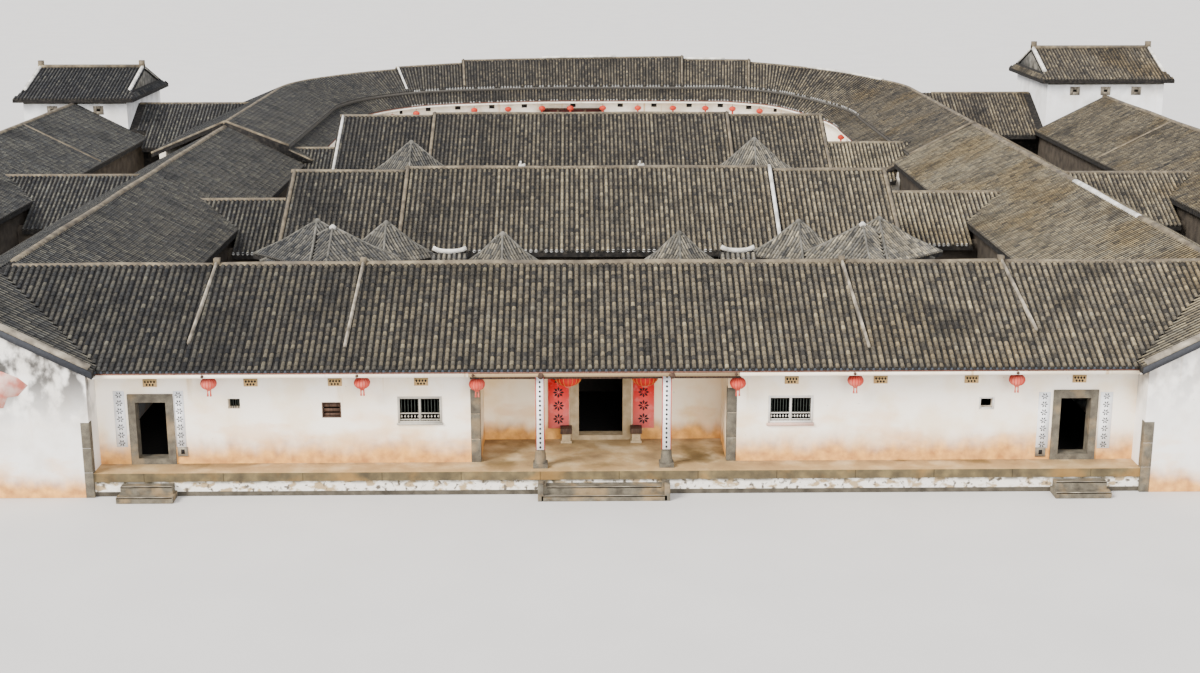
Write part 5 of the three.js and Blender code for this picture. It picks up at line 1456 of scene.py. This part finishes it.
def tower_ridge(caps, side, t):
    """The ridge and the knob at each of its ends."""
    y, z = (t["y0"] + t["y1"]) / 2, t["ridge_z"]
    x0, x1 = sorted((side * (t["x0"] + SKIRT), side * (t["x1"] - SKIRT)))
    caps.box(x0 - 0.02, x1 + 0.02, y - 0.17, y + 0.17, z - 0.05, z + 0.16)
    for x, inward in ((x0, 1), (x1, -1)):
        caps.box(x - 0.02 * inward, x + 0.32 * inward, y - 0.12, y + 0.12, z, z + 0.438)


def tower_front(grey, pale, side, t):
    wall, eave = t["wall"], t["eave_z"]
    x0, x1 = sorted((side * (t["x0"] + 0.52), side * (t["x1"] - 0.52)))
    grey.box(x0, x1, wall - 0.04, wall + 0.01, eave - 0.34, eave - 0.2)
    for x in (x0 + 1.78, (x0 + x1) / 2, x1 - 1.78):
        ring_frame(pale, x - 0.12, x + 0.12, eave - 0.82, eave - 0.68, 0.2, wall - 0.02, wall + 0.01)


# Camera: focal length in pixels of a picture PHOTO_WIDE across, place in real metres, angles in radians
PHOTO_WIDE, FOCAL = 1200, 1650.5936
CAMERA_PLACE = (-1.3488, -52.3791, 18.8936)
YAW, PITCH_DOWN, ROLL = 0.014, 0.2567, 0.0008
FLOOR_REACH = 400
# Lamps: the way to the lamp, strength, spread in degrees, colour
LAMPS = {"key": ((-0.62, -0.5, 0.6), 6.6, 24, (1.0, 0.97, 0.92)),
         "fill": ((0.3, -0.9, 0.3), 2.5, 40, (0.97, 0.98, 1.0))}


def add_camera():
    camera = bpy.data.cameras.new("camera")
    camera.sensor_width = 36
    camera.lens = FOCAL * camera.sensor_width / PHOTO_WIDE
    camera.sensor_fit = "HORIZONTAL"
    camera.clip_end = 500
    view = bpy.data.objects.new("camera", camera)
    level_reach = math.cos(PITCH_DOWN)
    forward = Vector((math.sin(YAW) * level_reach, math.cos(YAW) * level_reach, -math.sin(PITCH_DOWN)))
    right = Vector((math.cos(YAW), -math.sin(YAW), 0))
    down = forward.cross(right)
    turned_right = right * math.cos(ROLL) + down * math.sin(ROLL)
    turned_down = down * math.cos(ROLL) - right * math.sin(ROLL)
    x, y, z = CAMERA_PLACE
    place = (x * SCALE, (y - MIDDLE) * SCALE, z * SCALE)
    rows = [[turned_right[i], -turned_down[i], -forward[i], place[i]] for i in range(3)]
    view.matrix_world = Matrix(rows + [[0, 0, 0, 1]])
    bpy.context.scene.collection.objects.link(view)
    bpy.context.scene.camera = view


def add_floor():
    mesh = bpy.data.meshes.new("floor")
    corners = [(x * FLOOR_REACH, y * FLOOR_REACH, 0) for x, y in ((-1, -1), (1, -1), (1, 1), (-1, 1))]
    mesh.from_pydata(corners, [], [(0, 1, 2, 3)])
    s = Shader("pale_floor", 0.9)
    mesh.materials.append(s.colour(s.mix(s.noise(0.3, 3), "#cfcbc5", "#c3bfb9")))
    floor = bpy.data.objects.new("floor", mesh)
    floor.location.z = -0.003
    bpy.context.scene.collection.objects.link(floor)


def add_light():
    world = bpy.data.worlds.new("soft sky")
    world.use_nodes = True
    background = world.node_tree.nodes["Background"]
    background.inputs[0].default_value = (0.86, 0.9, 1.0, 1)
    background.inputs[1].default_value = 1.6
    bpy.context.scene.world = world
    for name, (toward, strength, spread_angle, colour) in LAMPS.items():
        lamp = bpy.data.lights.new(name, "SUN")
        lamp.energy = strength
        lamp.angle = math.radians(spread_angle)
        lamp.color = colour
        made = bpy.data.objects.new(name, lamp)
        made.rotation_euler = Vector(toward).to_track_quat("Z", "Y").to_euler()
        bpy.context.scene.collection.objects.link(made)


# Materials on the frame's own parts

def dress_frame():
    kinds = {
        "front_platform": PLATFORM,
        "porch_walls": PORCH_PLASTER,
        "front_wall_left": FRONT_PLASTER,
        "front_wall_right": FRONT_PLASTER,
        "porch_beam": TIMBER,
        "main_door_frame": PORCH_STONE,
        "front_range_rear_wall": INDOOR_SHADE_WALL,
        "rear_red_screen": RED_WOOD,
    }
    for name, node in frame["nodes"].items():
        if name in kinds:
            material = kinds[name]
        elif name.endswith(("roof", "pavilion", "pavilions", "tower_link")):
            material = PANS_DIRT_AND_SHADE
        elif "steps" in name:
            material = STEP_STONE
        elif name.endswith(("frame", "pedestal", "column")):
            material = STONE
        elif "red_panel" in name:
            material = RED_PAPER
        elif "lantern" in name or "rail" in name:
            material = RED_LANTERN
        elif "hall_walls" in name:
            material = HALL_WALLS
        elif "tower" in name:
            material = TOWER_PLASTER
        elif "wing_walls" in name:
            material = GABLE_PLASTER
        else:
            material = COURT_PLASTER
        node.data.materials.clear()
        node.data.materials.append(material)


dress_frame()
lay_roofs()
ridge_and_verges()
pavilion_hips()
eave_trim()
windows()
strips_and_panels()
stone_trim()
lanterns()
gable_trim()
ring_details()
tower_details()
add_camera()
add_floor()
add_light()
